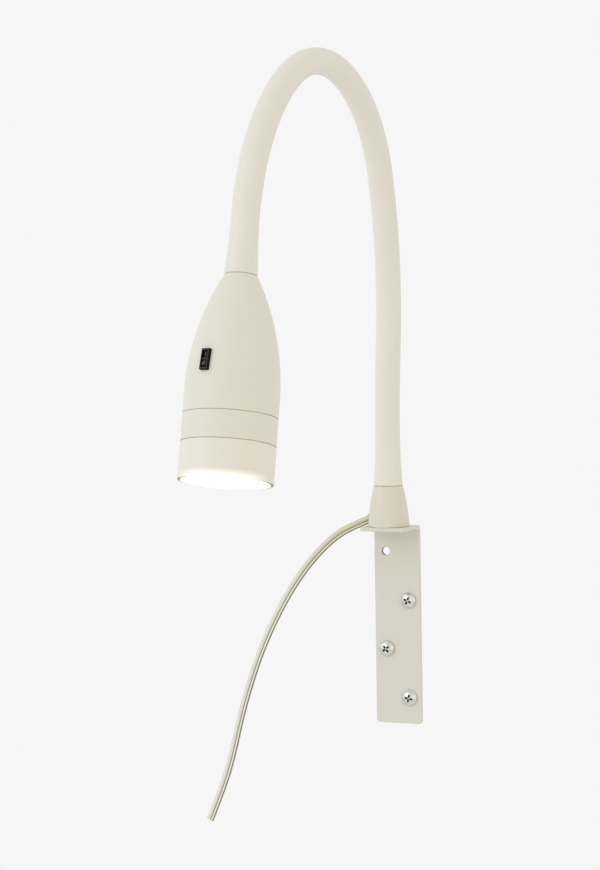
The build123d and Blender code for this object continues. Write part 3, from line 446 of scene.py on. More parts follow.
def finished_mesh(piece):
    """Turns a piece with modifiers into a plain mesh at the origin."""
    mesh = evaluated_mesh(piece)
    mesh.name = piece.name
    old = piece.data
    piece.modifiers.clear()
    piece.data = mesh
    bpy.data.meshes.remove(old)
    return piece


def curve_mesh(curve):
    """The mesh that a curve makes."""
    drawn = new_piece(curve.name, curve)
    mesh = evaluated_mesh(drawn)
    bpy.data.objects.remove(drawn)
    return mesh


def add_outline(curve, points):
    """Adds a closed outline of (x, y) points to a curve."""
    spline = curve.splines.new("POLY")
    spline.points.add(len(points) - 1)
    for point, (x, y) in zip(spline.points, points):
        point.co = (x, y, 0, 1)
    spline.use_cyclic_u = True


def merged(mesh, distance):
    """Opens a mesh for editing, with its doubles merged."""
    work = bmesh.new()
    work.from_mesh(mesh)
    bpy.data.meshes.remove(mesh)
    bmesh.ops.remove_doubles(work, verts=work.verts, dist=distance)
    return work


def is_quad(face):
    """Whether a face is one of the four-sided faces of a drawn or turned skin."""
    return len(face.verts) == 4


def closed_mesh(name, work, smooth=is_quad, crease=None):
    """Ends the editing of a mesh: its faces point outwards, and it is smooth up to sharp creases."""
    bmesh.ops.recalc_face_normals(work, faces=work.faces)
    for face in work.faces:
        face.smooth = smooth(face)
    if crease:
        for edge in work.edges:
            edge.smooth = edge.calc_face_angle(0) < math.radians(crease)
    mesh = bpy.data.meshes.new(name)
    work.to_mesh(mesh)
    work.free()
    return mesh


def ring_about_y(work, radii, along):
    """A ring of points about the Y axis, with a radius for each."""
    count = len(radii)
    angles = [math.tau * k / count for k in range(count)]
    places = [(r * math.cos(a), along, r * math.sin(a)) for r, a in zip(radii, angles)]
    return [work.verts.new(place) for place in places]


def skin_between(work, low, high):
    """Faces between two rings of points, where a ring of one point closes the skin."""
    count = max(len(low), len(high))
    for k in range(count):
        corners = [low[k % len(low)], low[(k + 1) % len(low)]]
        corners += [high[(k + 1) % len(high)], high[k % len(high)]]
        work.faces.new(list(dict.fromkeys(corners)))


# Geometry trees


def geometry_tree(name, inputs):
    """An empty geometry tree with named inputs."""
    tree = bpy.data.node_groups.new(name, "GeometryNodeTree")
    tree.interface.new_socket("Geometry", in_out="INPUT", socket_type="NodeSocketGeometry")
    tree.interface.new_socket("Geometry", in_out="OUTPUT", socket_type="NodeSocketGeometry")
    for label, kind in inputs:
        tree.interface.new_socket(label, in_out="INPUT", socket_type="NodeSocket" + kind)
    return tree, add_node(tree, "NodeGroupInput").outputs


def end_tree(tree, geometry, finish):
    """Ends a geometry tree in real meshes with their material."""
    real = add_node(tree, "GeometryNodeRealizeInstances", links={"Geometry": geometry})
    links = {"Geometry": real.outputs["Geometry"], "Material": finish}
    coloured = add_node(tree, "GeometryNodeSetMaterial", links=links)
    add_node(tree, "NodeGroupOutput", links={"Geometry": coloured.outputs["Geometry"]})
    return tree


def modify_with(piece, tree, **inputs):
    """Runs a geometry tree on a piece, with its inputs set by their identifiers."""
    modifier = piece.modifiers.new(tree.name, "NODES")
    modifier.node_group = tree
    sockets = {s.name: s.identifier for s in tree.interface.items_tree if s.in_out == "INPUT"}
    for name, value in inputs.items():
        modifier[sockets[name.capitalize()]] = value
    return finished_mesh(piece)


# Arm


def arm_stations(step):
    """Points up the arm's centreline from the cone to the neck, each with its distance."""
    stations = []
    point = Vector((0, -AXIS_REACH, SHELF_TOP + CONE_HEIGHT))
    lean = 0.0
    travelled = 0.0
    links = [(LINK_LENGTH, bend) for bend in LINK_BENDS]
    for length, bend in [(ARM_END_LENGTH, 0.0), *links, (ARM_END_LENGTH, 0.0)]:
        # An odd count puts a link's middle inside a step, where two sleeve lengths meet squarely.
        count = math.ceil(length / step) | 1
        for index in range(count):
            stations.append((point.copy(), travelled + length * index / count))
            middle = lean + math.radians(bend) * (index + 0.5) / count
            chord = length / count
            if bend:
                half = math.radians(bend) / count / 2
                chord *= math.sin(half) / half
            point += Vector((0, -math.sin(middle), math.cos(middle))) * chord
        lean += math.radians(bend)
        travelled += length
    stations.append((point.copy(), travelled))
    return stations


def cut_station(stations, along):
    """The point at a distance along the arm."""
    for (low, low_at), (high, high_at) in zip(stations, stations[1:]):
        if low_at <= along <= high_at:
            return low.lerp(high, (along - low_at) / (high_at - low_at)), along
    return stations[-1]


def head_seam():
    """The middle of the seam between arm and head, and the way down the head's axis."""
    lean = math.radians(sum(LINK_BENDS))
    return arm_stations(LINK_LENGTH)[-1][0], Vector((0, -math.sin(lean), math.cos(lean)))


def sleeve_girth(sizes, from_end):
    """The sleeve's radius, wider where its ends are stretched over the ferrules."""
    swell = max(0.0, 1 - from_end / ARM_END_LENGTH) ** SWELL_POWER
    missing = max(0.0, LIP_RADIUS - from_end)
    lip = LIP_RADIUS - math.sqrt(LIP_RADIUS**2 - missing**2)
    return sizes.sleeve_radius + (sizes.sleeve_end_radius - sizes.sleeve_radius) * swell - lip


def sleeve_tree():
    """A geometry tree that draws a round sleeve along a line of points."""
    tree, given = geometry_tree("Gooseneck sleeve", [("Facets", "Int"), ("Finish", "Material")])
    line = add_node(tree, "GeometryNodeMeshToCurve", links={"Mesh": given["Geometry"]})
    girth = add_node(tree, "GeometryNodeInputNamedAttribute", {"Name": "girth"}, data_type="FLOAT")
    links = {"Resolution": given["Facets"]}
    ring = add_node(tree, "GeometryNodeCurvePrimitiveCircle", {"Radius": 1.0}, links, mode="RADIUS")
    links = {"Curve": line.outputs["Curve"], "Profile Curve": ring.outputs["Curve"]}
    links["Scale"] = girth.outputs["Attribute"]
    skin = add_node(tree, "GeometryNodeCurveToMesh", {"Fill Caps": True}, links)
    return end_tree(tree, skin.outputs["Mesh"], given["Finish"])


def sleeve_line(sizes, stations, low, high):
    """The centreline of one length of sleeve, which carries the sleeve's radius."""
    total = stations[-1][1]
    kept = [cut_station(stations, low)]
    if low == 0:
        kept += [cut_station(stations, LIP_RADIUS * share) for share in LIP_SHARES]
    kept += [station for station in stations if low < station[1] < high]
    if high == total:
        kept += [cut_station(stations, high - LIP_RADIUS * share) for share in reversed(LIP_SHARES)]
    kept.append(cut_station(stations, high))
    mesh = bpy.data.meshes.new("sleeve_line")
    edges = [(i, i + 1) for i in range(len(kept) - 1)]
    mesh.from_pydata([point for point, _ in kept], edges, [])
    girths = [sleeve_girth(sizes, min(along, total - along)) for _, along in kept]
    mesh.attributes.new("girth", "FLOAT", "POINT").data.foreach_set("value", girths)
    return mesh


def sleeving_material(shade):
    """Soft PVC sleeving: extruded, so it is even, with a fine grain and a silky, wide highlight."""
    silky = {"rough": (0.46, 0.58), "patch": 60.0, "grain": 0.9, "relief": 0.01}
    return speckled("Soft PVC sleeving", shade, darker(shade, 0.035), **silky)


class LAMP_OT_sleeve(bpy.types.Operator):
    """Soft sleeve over the flexible arm, one length across each of the arm's joints"""

    bl_idname = "lamp.sleeve"
    bl_label = "Arm sleeve"

    def execute(self, context):
        sizes = context.scene.lamp_sizes
        rubber = sleeving_material(context.scene.lamp_colours.sleeve)
        tree = sleeve_tree()
        stations = arm_stations(sizes.sleeve_step)
        chain = [joint for joint in frame["joints"] if joint["name"] != "switch_rock"]
        middles = [ARM_END_LENGTH + LINK_LENGTH * (number + 1.5) for number in range(len(chain) - 1)]
        cuts = [0.0, *middles, stations[-1][1]]
        for number, joint in enumerate(chain):
            line = sleeve_line(sizes, stations, cuts[number], cuts[number + 1])
            piece = new_piece(f"arm_skin_{number + 1}", line)
            modify_with(piece, tree, facets=sizes.sleeve_facets, finish=rubber)
            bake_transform(piece)
            replaced = [f"arm_sleeve_{number + 1}"]
            if joint is chain[-1]:
                replaced.append(f"arm_sleeve_{number + 2}")
            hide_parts(*replaced)
        return {"FINISHED"}


# Painted parts


def rounded_corners(half, low, high, low_radius, high_radius):
    """A rectangle's outline with rounded corners, as (across, along) points."""
    corners = (
        (half - low_radius, low + low_radius, low_radius, -90),
        (half - high_radius, high - high_radius, high_radius, 0),
        (high_radius - half, high - high_radius, high_radius, 90),
        (low_radius - half, low + low_radius, low_radius, 180),
    )
    points = []
    for x, y, radius, start in corners:
        for k in range(CORNER_STEPS + 1):
            angle = math.radians(start + 90 * k / CORNER_STEPS)
            points.append((x + radius * math.cos(angle), y + radius * math.sin(angle)))
    return points


def round_hole(x, y, radius):
    """A hole's outline, as (across, along) points."""
    turns = [math.tau * k / HOLE_STEPS for k in range(HOLE_STEPS)]
    return [(x + radius * math.cos(a), y + radius * math.sin(a)) for a in turns]


def strip_mesh(edge):
    """The strip: cut flat with its holes, its edges rolled over, and then folded."""
    fold = (BEND_INSIDE_RADIUS + PLATE_THICKNESS / 2) * math.pi / 2
    bend_reach = BEND_INSIDE_RADIUS + PLATE_THICKNESS
    bend_height = SHELF_TOP - bend_reach
    blank = bpy.data.curves.new("strip_blank", "CURVE")
    blank.dimensions = "2D"
    blank.fill_mode = "BOTH"
    blank.extrude = PLATE_THICKNESS / 2 - edge
    blank.bevel_depth = edge
    blank.bevel_resolution = 2
    half, foot = PLATE_WIDTH / 2 - edge, PLATE_FOOT - bend_height + edge
    tip = fold + SHELF_REACH - bend_reach - edge
    add_outline(
        blank, rounded_corners(half, foot, tip, PLATE_CORNER_RADIUS - edge, SHELF_CORNER_RADIUS - edge)
    )
    add_outline(blank, round_hole(0, fold + AXIS_REACH - bend_reach, SHELF_HOLE_RADIUS + edge))
    for x, z in WALL_HOLES:
        add_outline(blank, round_hole(x * MM, z * MM - bend_height, WALL_HOLE_RADIUS + edge))
    work = merged(curve_mesh(blank), 1e-7)
    for k in range(FOLD_STEPS + 1):
        everything = work.verts[:] + work.edges[:] + work.faces[:]
        crease = (0, fold * k / FOLD_STEPS, 0)
        bmesh.ops.bisect_plane(work, geom=everything, plane_co=crease, plane_no=(0, 1, 0), dist=1e-7)
    for vert in work.verts:
        along, through = vert.co.y, vert.co.z
        radius = bend_reach - through - PLATE_THICKNESS / 2
        angle = min(max(along / fold, 0.0), 1.0) * math.pi / 2
        before, after = min(along, 0.0), max(along - fold, 0.0)
        vert.co.y = radius * math.cos(angle) - bend_reach - after
        vert.co.z = bend_height + before + radius * math.sin(angle)
    return closed_mesh("bracket_strip", work, lambda face: max(abs(part) for part in face.normal) < 0.9999)


def in_wall_hole(place):
    """Whether a point of the strip lies inside one of its wall holes."""
    return min(math.hypot(place.x - x * MM, place.z - z * MM) for x, z in WALL_HOLES) < HOLE_SHADE_RADIUS


class LAMP_OT_bracket(bpy.types.Operator):
    """Folded steel strip with its punched holes"""

    bl_idname = "lamp.bracket"
    bl_label = "Wall bracket"

    def execute(self, context):
        # Powder coat on a punched steel strip: the same coat as the head, a little greener
        # and greyer, rounded over its punched edges.
        coat = paint_material("Powder coated steel strip", context.scene.lamp_colours.strip)
        piece = new_piece("bracket_strip", strip_mesh(context.scene.lamp_sizes.edge_break), coat)
        # Painted shade darkens the strip inside each punched hole.
        tint_where(coat, "punched", linear("#77756A"))
        mark_faces(piece.data, "punched", in_wall_hole)
        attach(piece, "base")
        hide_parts("wall_bracket")
        return {"FINISHED"}


def lit_paint_material(colours, levels):
    """The head's coat on its front ring, whose mouth is lit from inside.

    Its coat is painted lighter than the head's, as lit by the mouth. A glow painted into the
    coat stands in for the light that bleeds over the rim at its front, and fades within 4.5 mm.
    Elsewhere the rounded rim, where it faces down the head's axis, is painted darker as shade.
    """
    material = paint_material("Powder coated aluminium, lit mouth", colours.lit)
    tree, shader = material.node_tree, main_shader(material)
    given = add_node(tree, "ShaderNodeTexCoord").outputs
    seam, down = head_seam()
    turn, across = math.radians(BLEED_TURN), Vector((1, 0, 0))
    front = down.cross(across) * math.cos(turn) + across * math.sin(turn)
    offset = add_node(tree, "ShaderNodeVectorMath", {1: seam}, {0: given["Object"]}, operation="SUBTRACT")
    # Painted glow: full at the front of the rim, and fading up the ring and round its sides.
    near_rim, at_front = (
        share_along(tree, offset.outputs["Vector"], way, limits, interpolation_type="SMOOTHSTEP")
        for way, limits in (
            (down, (HEAD_LENGTH - BLEED_LENGTH, HEAD_LENGTH)),
            (front, (BLEED_SIDE, BLEED_FULL)),
        )
    )
    both = add_node(tree, "ShaderNodeMath", links={0: near_rim, 1: at_front}, operation="MULTIPLY")
    values, links = {1: levels.mouth_light}, {0: both.outputs["Value"]}
    glow = add_node(tree, "ShaderNodeMath", values, links, operation="MULTIPLY")
    shader.inputs["Emission Color"].default_value = levels.bleed_shade
    feed(shader, {"Emission Strength": glow.outputs["Value"]})
    # Painted shade: the rounded rim turns darker where it faces down the head's axis, except at its front,
    # where the glow is.
    rounded = share_along(tree, given["Normal"], down, RIM_FACING)
    links = {0: rounded, 1: at_front}
    dull = add_node(tree, "ShaderNodeMath", links=links, operation="SUBTRACT", use_clamp=True)
    tint(material, dull.outputs["Value"], colours.rim)
    return material


class LAMP_OT_painted_parts(bpy.types.Operator):
    """Head shell, rings and base cone"""

    bl_idname = "lamp.painted_parts"
    bl_label = "Head and cone"

    def execute(self, context):
        colours = context.scene.lamp_colours
        # Powder coat on spun aluminium: satin, with a slight orange peel under the highlight.
        coat = paint_material("Powder coated aluminium", colours.paint)
        dress("head_shell", coat)
        dress("lamp_ring", coat)
        # The cone's coat is painted darker and warmer than the head's, as shade.
        dress("base_cone", paint_material("Powder coated steel", colours.foot))
        dress("front_ring", lit_paint_material(colours, context.scene.studio_levels))
        return {"FINISHED"}


# Screws


def cross_cutter():
    """The cross that a driver leaves in a screw's head: four deep wings round a shallow middle."""
    work = bmesh.new()
    for turn in range(5):
        cube = bmesh.ops.create_cube(work, size=1)["verts"]
        middle = turn == 4
        for vert in cube:
            deep = vert.co.y > 0
            if middle:
                width = CROSS_WIDTH * (0.8 if deep else 1.2)
                vert.co.x *= width
                vert.co.z *= width
                vert.co.y = -HEAD_HEIGHT + (CROSS_DEPTH * 0.45 if deep else -CROSS_DEPTH)
                continue
            outer = CROSS_SPAN / 2 * (0.8 if deep else 1)
            vert.co.x = outer if vert.co.x > 0 else CROSS_WIDTH * 0.45
            vert.co.z *= CROSS_WIDTH * (0.75 if deep else 1)
            vert.co.y = -HEAD_HEIGHT + (CROSS_DEPTH if deep else -CROSS_DEPTH)
        spin = Matrix.Rotation(math.pi / 2 * turn + (math.pi / 4 if middle else 0), 3, "Y")
        bmesh.ops.rotate(work, verts=cube, cent=(0, 0, 0), matrix=spin)
    return closed_mesh("screw_cutter", work)


def thread_mesh(sizes, facets=40):
    """A screw's thread: rings along Y whose radius rises once a turn."""
    count = int((TIP_END - SHANK_START) / (sizes.thread_pitch / THREAD_STEPS))
    work = bmesh.new()
    rings = []
    for row in range(count + 1):
        along = SHANK_START + (TIP_END - SHANK_START) * row / count
        taper = min(1.0, (TIP_END - along) / (TIP_END - TIP_START))
        radii = []
        for k in range(facets):
            phase = (along / sizes.thread_pitch - k / facets) % 1
            ridge = max(0.0, 1 - abs(phase - 0.5) / THREAD_FLANK)
            radius = SHANK_RADIUS - sizes.thread_depth * (1 - ridge)
            radii.append(max(TIP_RADIUS, radius * taper))
        rings.append(ring_about_y(work, radii, along))
    for low, high in zip(rings, rings[1:]):
        skin_between(work, low, high)
    work.faces.new(rings[0])
    work.faces.new(rings[-1])
    return closed_mesh("screw_thread", work)


def dome_radius():
    """The radius of the sphere that a screw's head is part of."""
    rise = HEAD_HEIGHT - HEAD_RIM
    return (HEAD_RADIUS**2 + rise**2) / (2 * rise)


def dome_place(radius):
    """Where a screw's dome lies along Y, at a radius from its axis."""
    return -(HEAD_HEIGHT - dome_radius() + math.sqrt(dome_radius() ** 2 - radius**2))


def head_mesh(facets=64, steps=12):
    """A screw's pan head without its cross, turned about the Y axis."""
    outline = [(0, 0), (HEAD_RADIUS - HEAD_CHAMFER, 0), (HEAD_RADIUS, -HEAD_CHAMFER)]
    outline.append((HEAD_RADIUS, -HEAD_RIM))
    for share in range(1, steps):
        radius = HEAD_RADIUS * (1 - share / steps)
        outline.append((radius, dome_place(radius)))
    outline.append((0, -HEAD_HEIGHT))
    work = bmesh.new()
    rings = [ring_about_y(work, [radius] * (facets if radius else 1), along) for radius, along in outline]
    for low, high in zip(rings, rings[1:]):
        skin_between(work, low, high)
    return closed_mesh("screw_head", work)


def in_cross(place):
    """Whether a point of a screw's head lies inside its cross."""
    radius = math.hypot(place.x, place.z)
    if not CROSS_INSIDE[0] < radius < CROSS_INSIDE[1] or place.y > -CROSS_OFF_SEAT:
        return False
    return place.y - dome_place(radius) > CROSS_UNDER


def screw_template(sizes):
    """One pan-head wall screw with its head towards -Y and its seat at y = 0."""
    head = new_piece("screw_head", head_mesh())
    cutter = new_piece("screw_cutter", cross_cutter())
    cut = head.modifiers.new("Cross", "BOOLEAN")
    cut.object = cutter
    cut.operation = "DIFFERENCE"
    cut.solver = "EXACT"
    cut.use_self = True
    soften = head.modifiers.new("Edges", "BEVEL")
    soften.width = HEAD_EDGE
    soften.segments = 2
    soften.limit_method = "ANGLE"
    soften.angle_limit = math.radians(35)
    finished_mesh(head)
    bpy.data.objects.remove(cutter)
    thread = thread_mesh(sizes)
    work = bmesh.new()
    work.from_mesh(head.data)
    work.from_mesh(thread)
    bpy.data.meshes.remove(thread)
    head.data = closed_mesh("screw", work, lambda face: True, 38)
    mark_faces(head.data, "recess", in_cross)
    return head


def screw_tree(template):
    """A geometry tree that sets a screw on each point, turned as its driver left it."""
    tree, given = geometry_tree("Screws on holes", [("Finish", "Material")])
    shape = add_node(tree, "GeometryNodeObjectInfo", {"Object": template}).outputs["Geometry"]
    turn = add_node(tree, "GeometryNodeInputNamedAttribute", {"Name": "turn"}, data_type="FLOAT")
    spin = add_node(tree, "ShaderNodeCombineXYZ", links={"Y": turn.outputs["Attribute"]})
    links = {"Points": given["Geometry"], "Instance": shape, "Rotation": spin.outputs["Vector"]}
    placed = add_node(tree, "GeometryNodeInstanceOnPoints", links=links)
    return end_tree(tree, placed.outputs["Instances"], given["Finish"])


class LAMP_OT_screws(bpy.types.Operator):
    """Three wall screws, each turned a different way"""

    bl_idname = "lamp.screws"
    bl_label = "Wall screws"

    def execute(self, context):
        template = screw_template(context.scene.lamp_sizes)
        mesh = bpy.data.meshes.new("screw_points")
        mesh.from_pydata([(x * MM, -PLATE_THICKNESS, z * MM) for x, z in WALL_HOLES[1:]], [], [])
        turns = [math.radians(turn) for turn in SCREW_TURNS]
        mesh.attributes.new("turn", "FLOAT", "POINT").data.foreach_set("value", turns)
        piece = new_piece("plate_screws", mesh)
        # Bright zinc plate on steel: pale metal with soft cloudy patches from the bath.
        cloudy = {"rough": (0.2, 0.34), "patch": 1.6, "grain": 0.35, "relief": 0.01, "metallic": 1.0}
        zinc = speckled("Bright zinc plate", linear("#E6E8DF"), linear("#C4C6BB"), **cloudy)
        # The same plate, darkened inside the cross with painted shade.
        shaded = zinc.copy()
        shaded.name = "Bright zinc plate, driven"
        tint_where(shaded, "recess", linear("#2A2926"))
        modify_with(piece, screw_tree(template), finish=shaded)
        bpy.data.objects.remove(template)
        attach(piece, "base")
        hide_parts("wall_screws")
        for node in ("shelf_screw", "board_screws", "neck_nut"):
            dress(node, zinc)
        return {"FINISHED"}


# Cord


def cord_line(name):
    """The cord's own smooth line, from the cone to its cut end."""
    curve = bpy.data.curves.new(name, "CURVE")
    curve.dimensions = "3D"
    curve.resolution_u = 16
    spline = curve.splines.new("NURBS")
    spline.points.add(len(CORD_ROUTE) - 1)
    for point, (left, up) in zip(spline.points, CORD_ROUTE):
        point.co = (-left * MM, -AXIS_REACH, SHELF_TOP + up * MM, 1)
    spline.order_u = 3
    spline.use_endpoint_u = True
    return curve


def drawn_along_cord(name, outline, material):
    """A length of cord or wire with an even section, as a mesh."""
    section = bpy.data.curves.new(name + "_outline", "CURVE")
    section.dimensions = "2D"
    add_outline(section, outline)
    profile = new_piece(name + "_outline", section)
    curve = cord_line(name)
    curve.twist_mode = "Z_UP"
    curve.bevel_mode = "OBJECT"
    curve.bevel_object = profile
    curve.use_fill_caps = True
    work = merged(curve_mesh(curve), 1e-6)
    bpy.data.objects.remove(profile)
    return new_piece(name, closed_mesh(name, work, crease=50), material)


def cord_path():
    """The points of the cord's own line."""
    line = curve_mesh(cord_line("cord_line"))
    path = [vert.co.copy() for vert in line.vertices]
    bpy.data.meshes.remove(line)
    return path


def across_cord(path, place):
    """How far a point of the cord lies to the lower right of its middle line."""
    index = min(range(len(path)), key=lambda k: (path[k] - place).length_squared)
    along = path[min(index + 1, len(path) - 1)] - path[max(index - 1, 0)]
    aside = along.cross(Vector((0, 1, 0))).normalized()
    if aside.x < 0:
        aside.negate()
    return (place - path[index]).dot(aside)


def twin_outline(width, thickness, steps=14):
    """Two round lobes joined by a narrow web."""
    lobe = thickness / 2
    offset = width / 2 - lobe
    inner = math.asin(CORD_WAIST)
    points = []
    for side in (1, -1):
        for k in range(steps + 1):
            angle = -(math.pi - inner) + (math.tau - 2 * inner) * k / steps
            if side < 0:
                angle += math.pi
            points.append((lobe * math.sin(angle), side * offset + lobe * math.cos(angle)))
    return points


def round_outline(radius, offset, steps=16):
    """A round wire, off the cord's middle."""
    turns = [math.tau * k / steps for k in range(steps)]
    return [(radius * math.sin(a), offset + radius * math.cos(a)) for a in turns]


def jacket_material(colours, width):
    """Clear PVC: extruded, glossy and faintly green.

    Across it a ramp paints the jacket's pale colour over each bundle of strands, painted shade
    in a line where the two lobes meet and along each edge, and a narrow painted highlight just
    beyond the valley.
    """
    values = {"IOR": 1.53, "Transmission Weight": 0.12, "Roughness": 0.16}
    material, tree, shader, place = bare_material("Clear PVC", values)
    spot = add_node(tree, "ShaderNodeAttribute", attribute_name="across").outputs["Fac"]
    limits = {"From Min": -width / 2, "From Max": width / 2}
    bands = add_node(tree, "ShaderNodeMapRange", limits, {"Value": spot})
    ramp = add_node(tree, "ShaderNodeValToRGB", links={"Fac": bands.outputs["Result"]})
    # Painted shade and highlight across the cord, from its upper left edge to its lower right edge
    stops = (
        (0.0, colours.jacket),
        (0.03, colours.cord_line),
        (0.09, colours.jacket),
        (0.45, colours.jacket),
        (0.56, colours.cord_line),
        (0.64, colours.cord_line),
        (0.7, colours.cord_highlight),
        (0.82, colours.cord_highlight),
        (0.91, colours.cord_edge_shade),
        (0.97, colours.cord_edge_shade),
        (0.99, colours.jacket),
    )
    # A new ramp has two stops already.
    for stop, _ in stops[2:]:
        ramp.color_ramp.elements.new(stop)
    for element, (stop, shade) in zip(ramp.color_ramp.elements, stops):
        element.position = stop
        element.color = shade
    # It is darker and yellower towards its top, by the cone.
    height = add_node(tree, "ShaderNodeSeparateXYZ", links={"Vector": place}).outputs["Z"]
    limits = {"From Min": TOP_TINT_HEIGHTS[0], "From Max": TOP_TINT_HEIGHTS[1], "To Max": 0.55}
    warm = add_node(tree, "ShaderNodeMapRange", limits, {"Value": height})
    links = {0: warm.outputs["Result"], MIX_FIRST: ramp.outputs["Color"]}
    top_tint = {MIX_SECOND: colours.cord_top_tint}
    tone = add_node(tree, "ShaderNodeMix", top_tint, links, data_type="RGBA", blend_type="MULTIPLY")
    feed(shader, {"Base Color": tone.outputs[MIX_RESULT]})
    return material


def strand_material(name, shade):
    """Stranded copper: one bundle tinned and one bare, so that they can be told apart."""
    dull = {"rough": (0.35, 0.5), "patch": 6.0, "grain": 1.5, "relief": 0.0, "metallic": 0.5}
    return speckled(name, shade, darker(shade, 0.15), **dull)


class LAMP_OT_cord(bpy.types.Operator):
    """Clear twin cord with its two bundles of strands, cut off bare at its end"""

    bl_idname = "lamp.cord"
    bl_label = "Clear cord"

    def execute(self, context):
        sizes, colours = context.scene.lamp_sizes, context.scene.lamp_colours
        twin = twin_outline(sizes.cord_width, sizes.cord_thickness)
        cord = drawn_along_cord("cord_jacket", twin, jacket_material(colours, sizes.cord_width))
        path = cord_path()
        places = [across_cord(path, vert.co) for vert in cord.data.vertices]
        cord.data.attributes.new("across", "FLOAT", "POINT").data.foreach_set("value", places)
        offset = (sizes.cord_width - sizes.cord_thickness) / 2
        for label, side, title, shade in (
            ("tinned", 1, "Tinned copper strands", colours.tinned),
            ("bare", -1, "Bare copper strands", colours.copper),
        ):
            outline = round_outline(sizes.strand_radius, side * offset)
            wire = drawn_along_cord(f"cord_strands_{label}", outline, strand_material(title, shade))
            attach(wire, "base")
        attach(cord, "base")
        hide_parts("cord")
        return {"FINISHED"}


# Light source and inner parts

# How many grains of the lens's frosting lie in a millimetre
FROST_GRAINS = 0.9

LIGHT_FINISHES = (
    # Vacuum-metallised ABS: a mirror with a slight haze.
    ("Metallised ABS", "#D9DBDD", "#CDCFD2", {"rough": (0.08, 0.14), "metallic": 1.0}, ["reflector"]),
    # Solder mask over a metal board: white and satin.
    ("White solder mask", "#EDEDE8", "#E2E2DC", {}, ["led_board"]),
    # Phosphor in clear silicone: yellow when unlit.
    ("Silicone phosphor", "#E6D36A", "#DAC55A", {}, ["led_chip"]),
    # Extruded aluminium: bright metal, a little cloudy.
    (
        "Extruded aluminium",
        "#C8CACC",
        "#B4B6B9",
        {"rough": (0.28, 0.4), "patch": 6.0, "metallic": 1.0},
        ["heat_sink"],
    ),
)

CORES = [node for node in nodes if node.startswith("arm_core_")]

INNER_FINISHES = (
    # Wound spring steel: dark grey metal, darkened in patches by its drawing oil.
    (
        "Wound spring steel",
        "#73767A",
        "#5D6064",
        {"rough": (0.3, 0.42), "patch": 8.0, "grain": 0.7, "relief": 0.05, "metallic": 1.0},
        CORES,
    ),
    # Moulded EPDM: matt, with a dusty bloom.
    ("Moulded EPDM", "#CFCBBB", "#C2BEAE", {"rough": (0.6, 0.75), "grain": 0.5}, ["cord_grommet"]),
    # Turned free-cutting steel: a bright, even cut.
    (
        "Turned steel",
        "#B9BBBD",
        "#A4A6A8",
        {"rough": (0.24, 0.36), "metallic": 1.0},
        ["foot_ferrule", "head_ferrule"],
    ),
    # Glass-filled epoxy board under green solder mask.
    ("Green circuit board", "#1E5A3C", "#184E34", {}, ["driver_board"]),
    # Moulded nylon: off-white and satin.
    ("Moulded nylon", "#E6E4DC", "#DCDAD1", {}, ["driver_holder"]),
    # Printed film round an aluminium can.
    ("Capacitor sleeve", "#232A3C", "#1B2130", {}, ["driver_capacitor"]),
    # Sintered ferrite: charcoal and matt.
    ("Sintered ferrite", "#2B2B2D", "#222224", {"rough": (0.6, 0.8)}, ["driver_inductor"]),
    # Tinned brass blades: pale warm metal.
    ("Tinned brass", "#CFC9B0", "#BDB79E", {"rough": (0.25, 0.4), "metallic": 1.0}, ["switch_terminals"]),
)


def lens_material(colours, levels):
    """Opal polycarbonate, lit from behind, so that it glows evenly."""
    values = {"Base Color": linear("#F7F5EE"), "Roughness": 0.35, "IOR": 1.58}
    values.update({"Emission Color": colours.light, "Emission Strength": levels.lamp_light})
    material, tree, shader, place = bare_material("Opal polycarbonate", values)
    frost = add_node(tree, "ShaderNodeTexNoise", {"Scale": FROST_GRAINS / MM}, {"Vector": place})
    values, links = {"Strength": 1.0, "Distance": 0.01 * MM}, {"Height": frost.outputs["Fac"]}
    feed(shader, {"Normal": add_node(tree, "ShaderNodeBump", values, links).outputs["Normal"]})
    return material


def wire_material():
    """PVC wire insulation: one brown and one blue wire, told apart by their side of the arm."""
    material, tree, shader, place = bare_material("PVC wire insulation", {"Roughness": 0.38})
    across = add_node(tree, "ShaderNodeSeparateXYZ", links={"Vector": place}).outputs["X"]
    side = add_node(tree, "ShaderNodeMath", {1: 0.0}, {0: across}, operation="GREATER_THAN")
    shades = {MIX_FIRST: linear("#3D6FA8"), MIX_SECOND: linear("#7A4A2B")}
    shade = add_node(tree, "ShaderNodeMix", shades, {0: side.outputs["Value"]}, data_type="RGBA")
    feed(shader, {"Base Color": shade.outputs[MIX_RESULT]})
    return material


class LAMP_OT_light_source(bpy.types.Operator):
    """Lit lens, reflector, board and heat sink"""

    bl_idname = "lamp.light_source"
    bl_label = "Light source"

    def execute(self, context):
        dress("lens", lens_material(context.scene.lamp_colours, context.scene.studio_levels))
        dress_all(LIGHT_FINISHES)
        return {"FINISHED"}


class LAMP_OT_inner_parts(bpy.types.Operator):
    """Core, grommet, ferrules, driver circuit and wires"""

    bl_idname = "lamp.inner_parts"
    bl_label = "Inner parts"

    def execute(self, context):
        dress_all(INNER_FINISHES)
        insulation = wire_material()
        for node in nodes:
            if "wires" in node:
                dress(node, insulation)
        return {"FINISHED"}


# Switch


def switch_directions():
    """The switch's pivot, and the ways across it, up its face and out of it."""
    rock = next(joint for joint in frame["joints"] if joint["name"] == "switch_rock")
    pivot, across = Vector(rock["pos_m"]), Vector(rock["axis"]).normalized()
    down = head_seam()[1]
    side = down.cross(across)
    slope = math.radians(SWITCH_SLOPE)
    out = side * math.cos(slope) - down * math.sin(slope)
    return pivot, across, out.cross(across), out


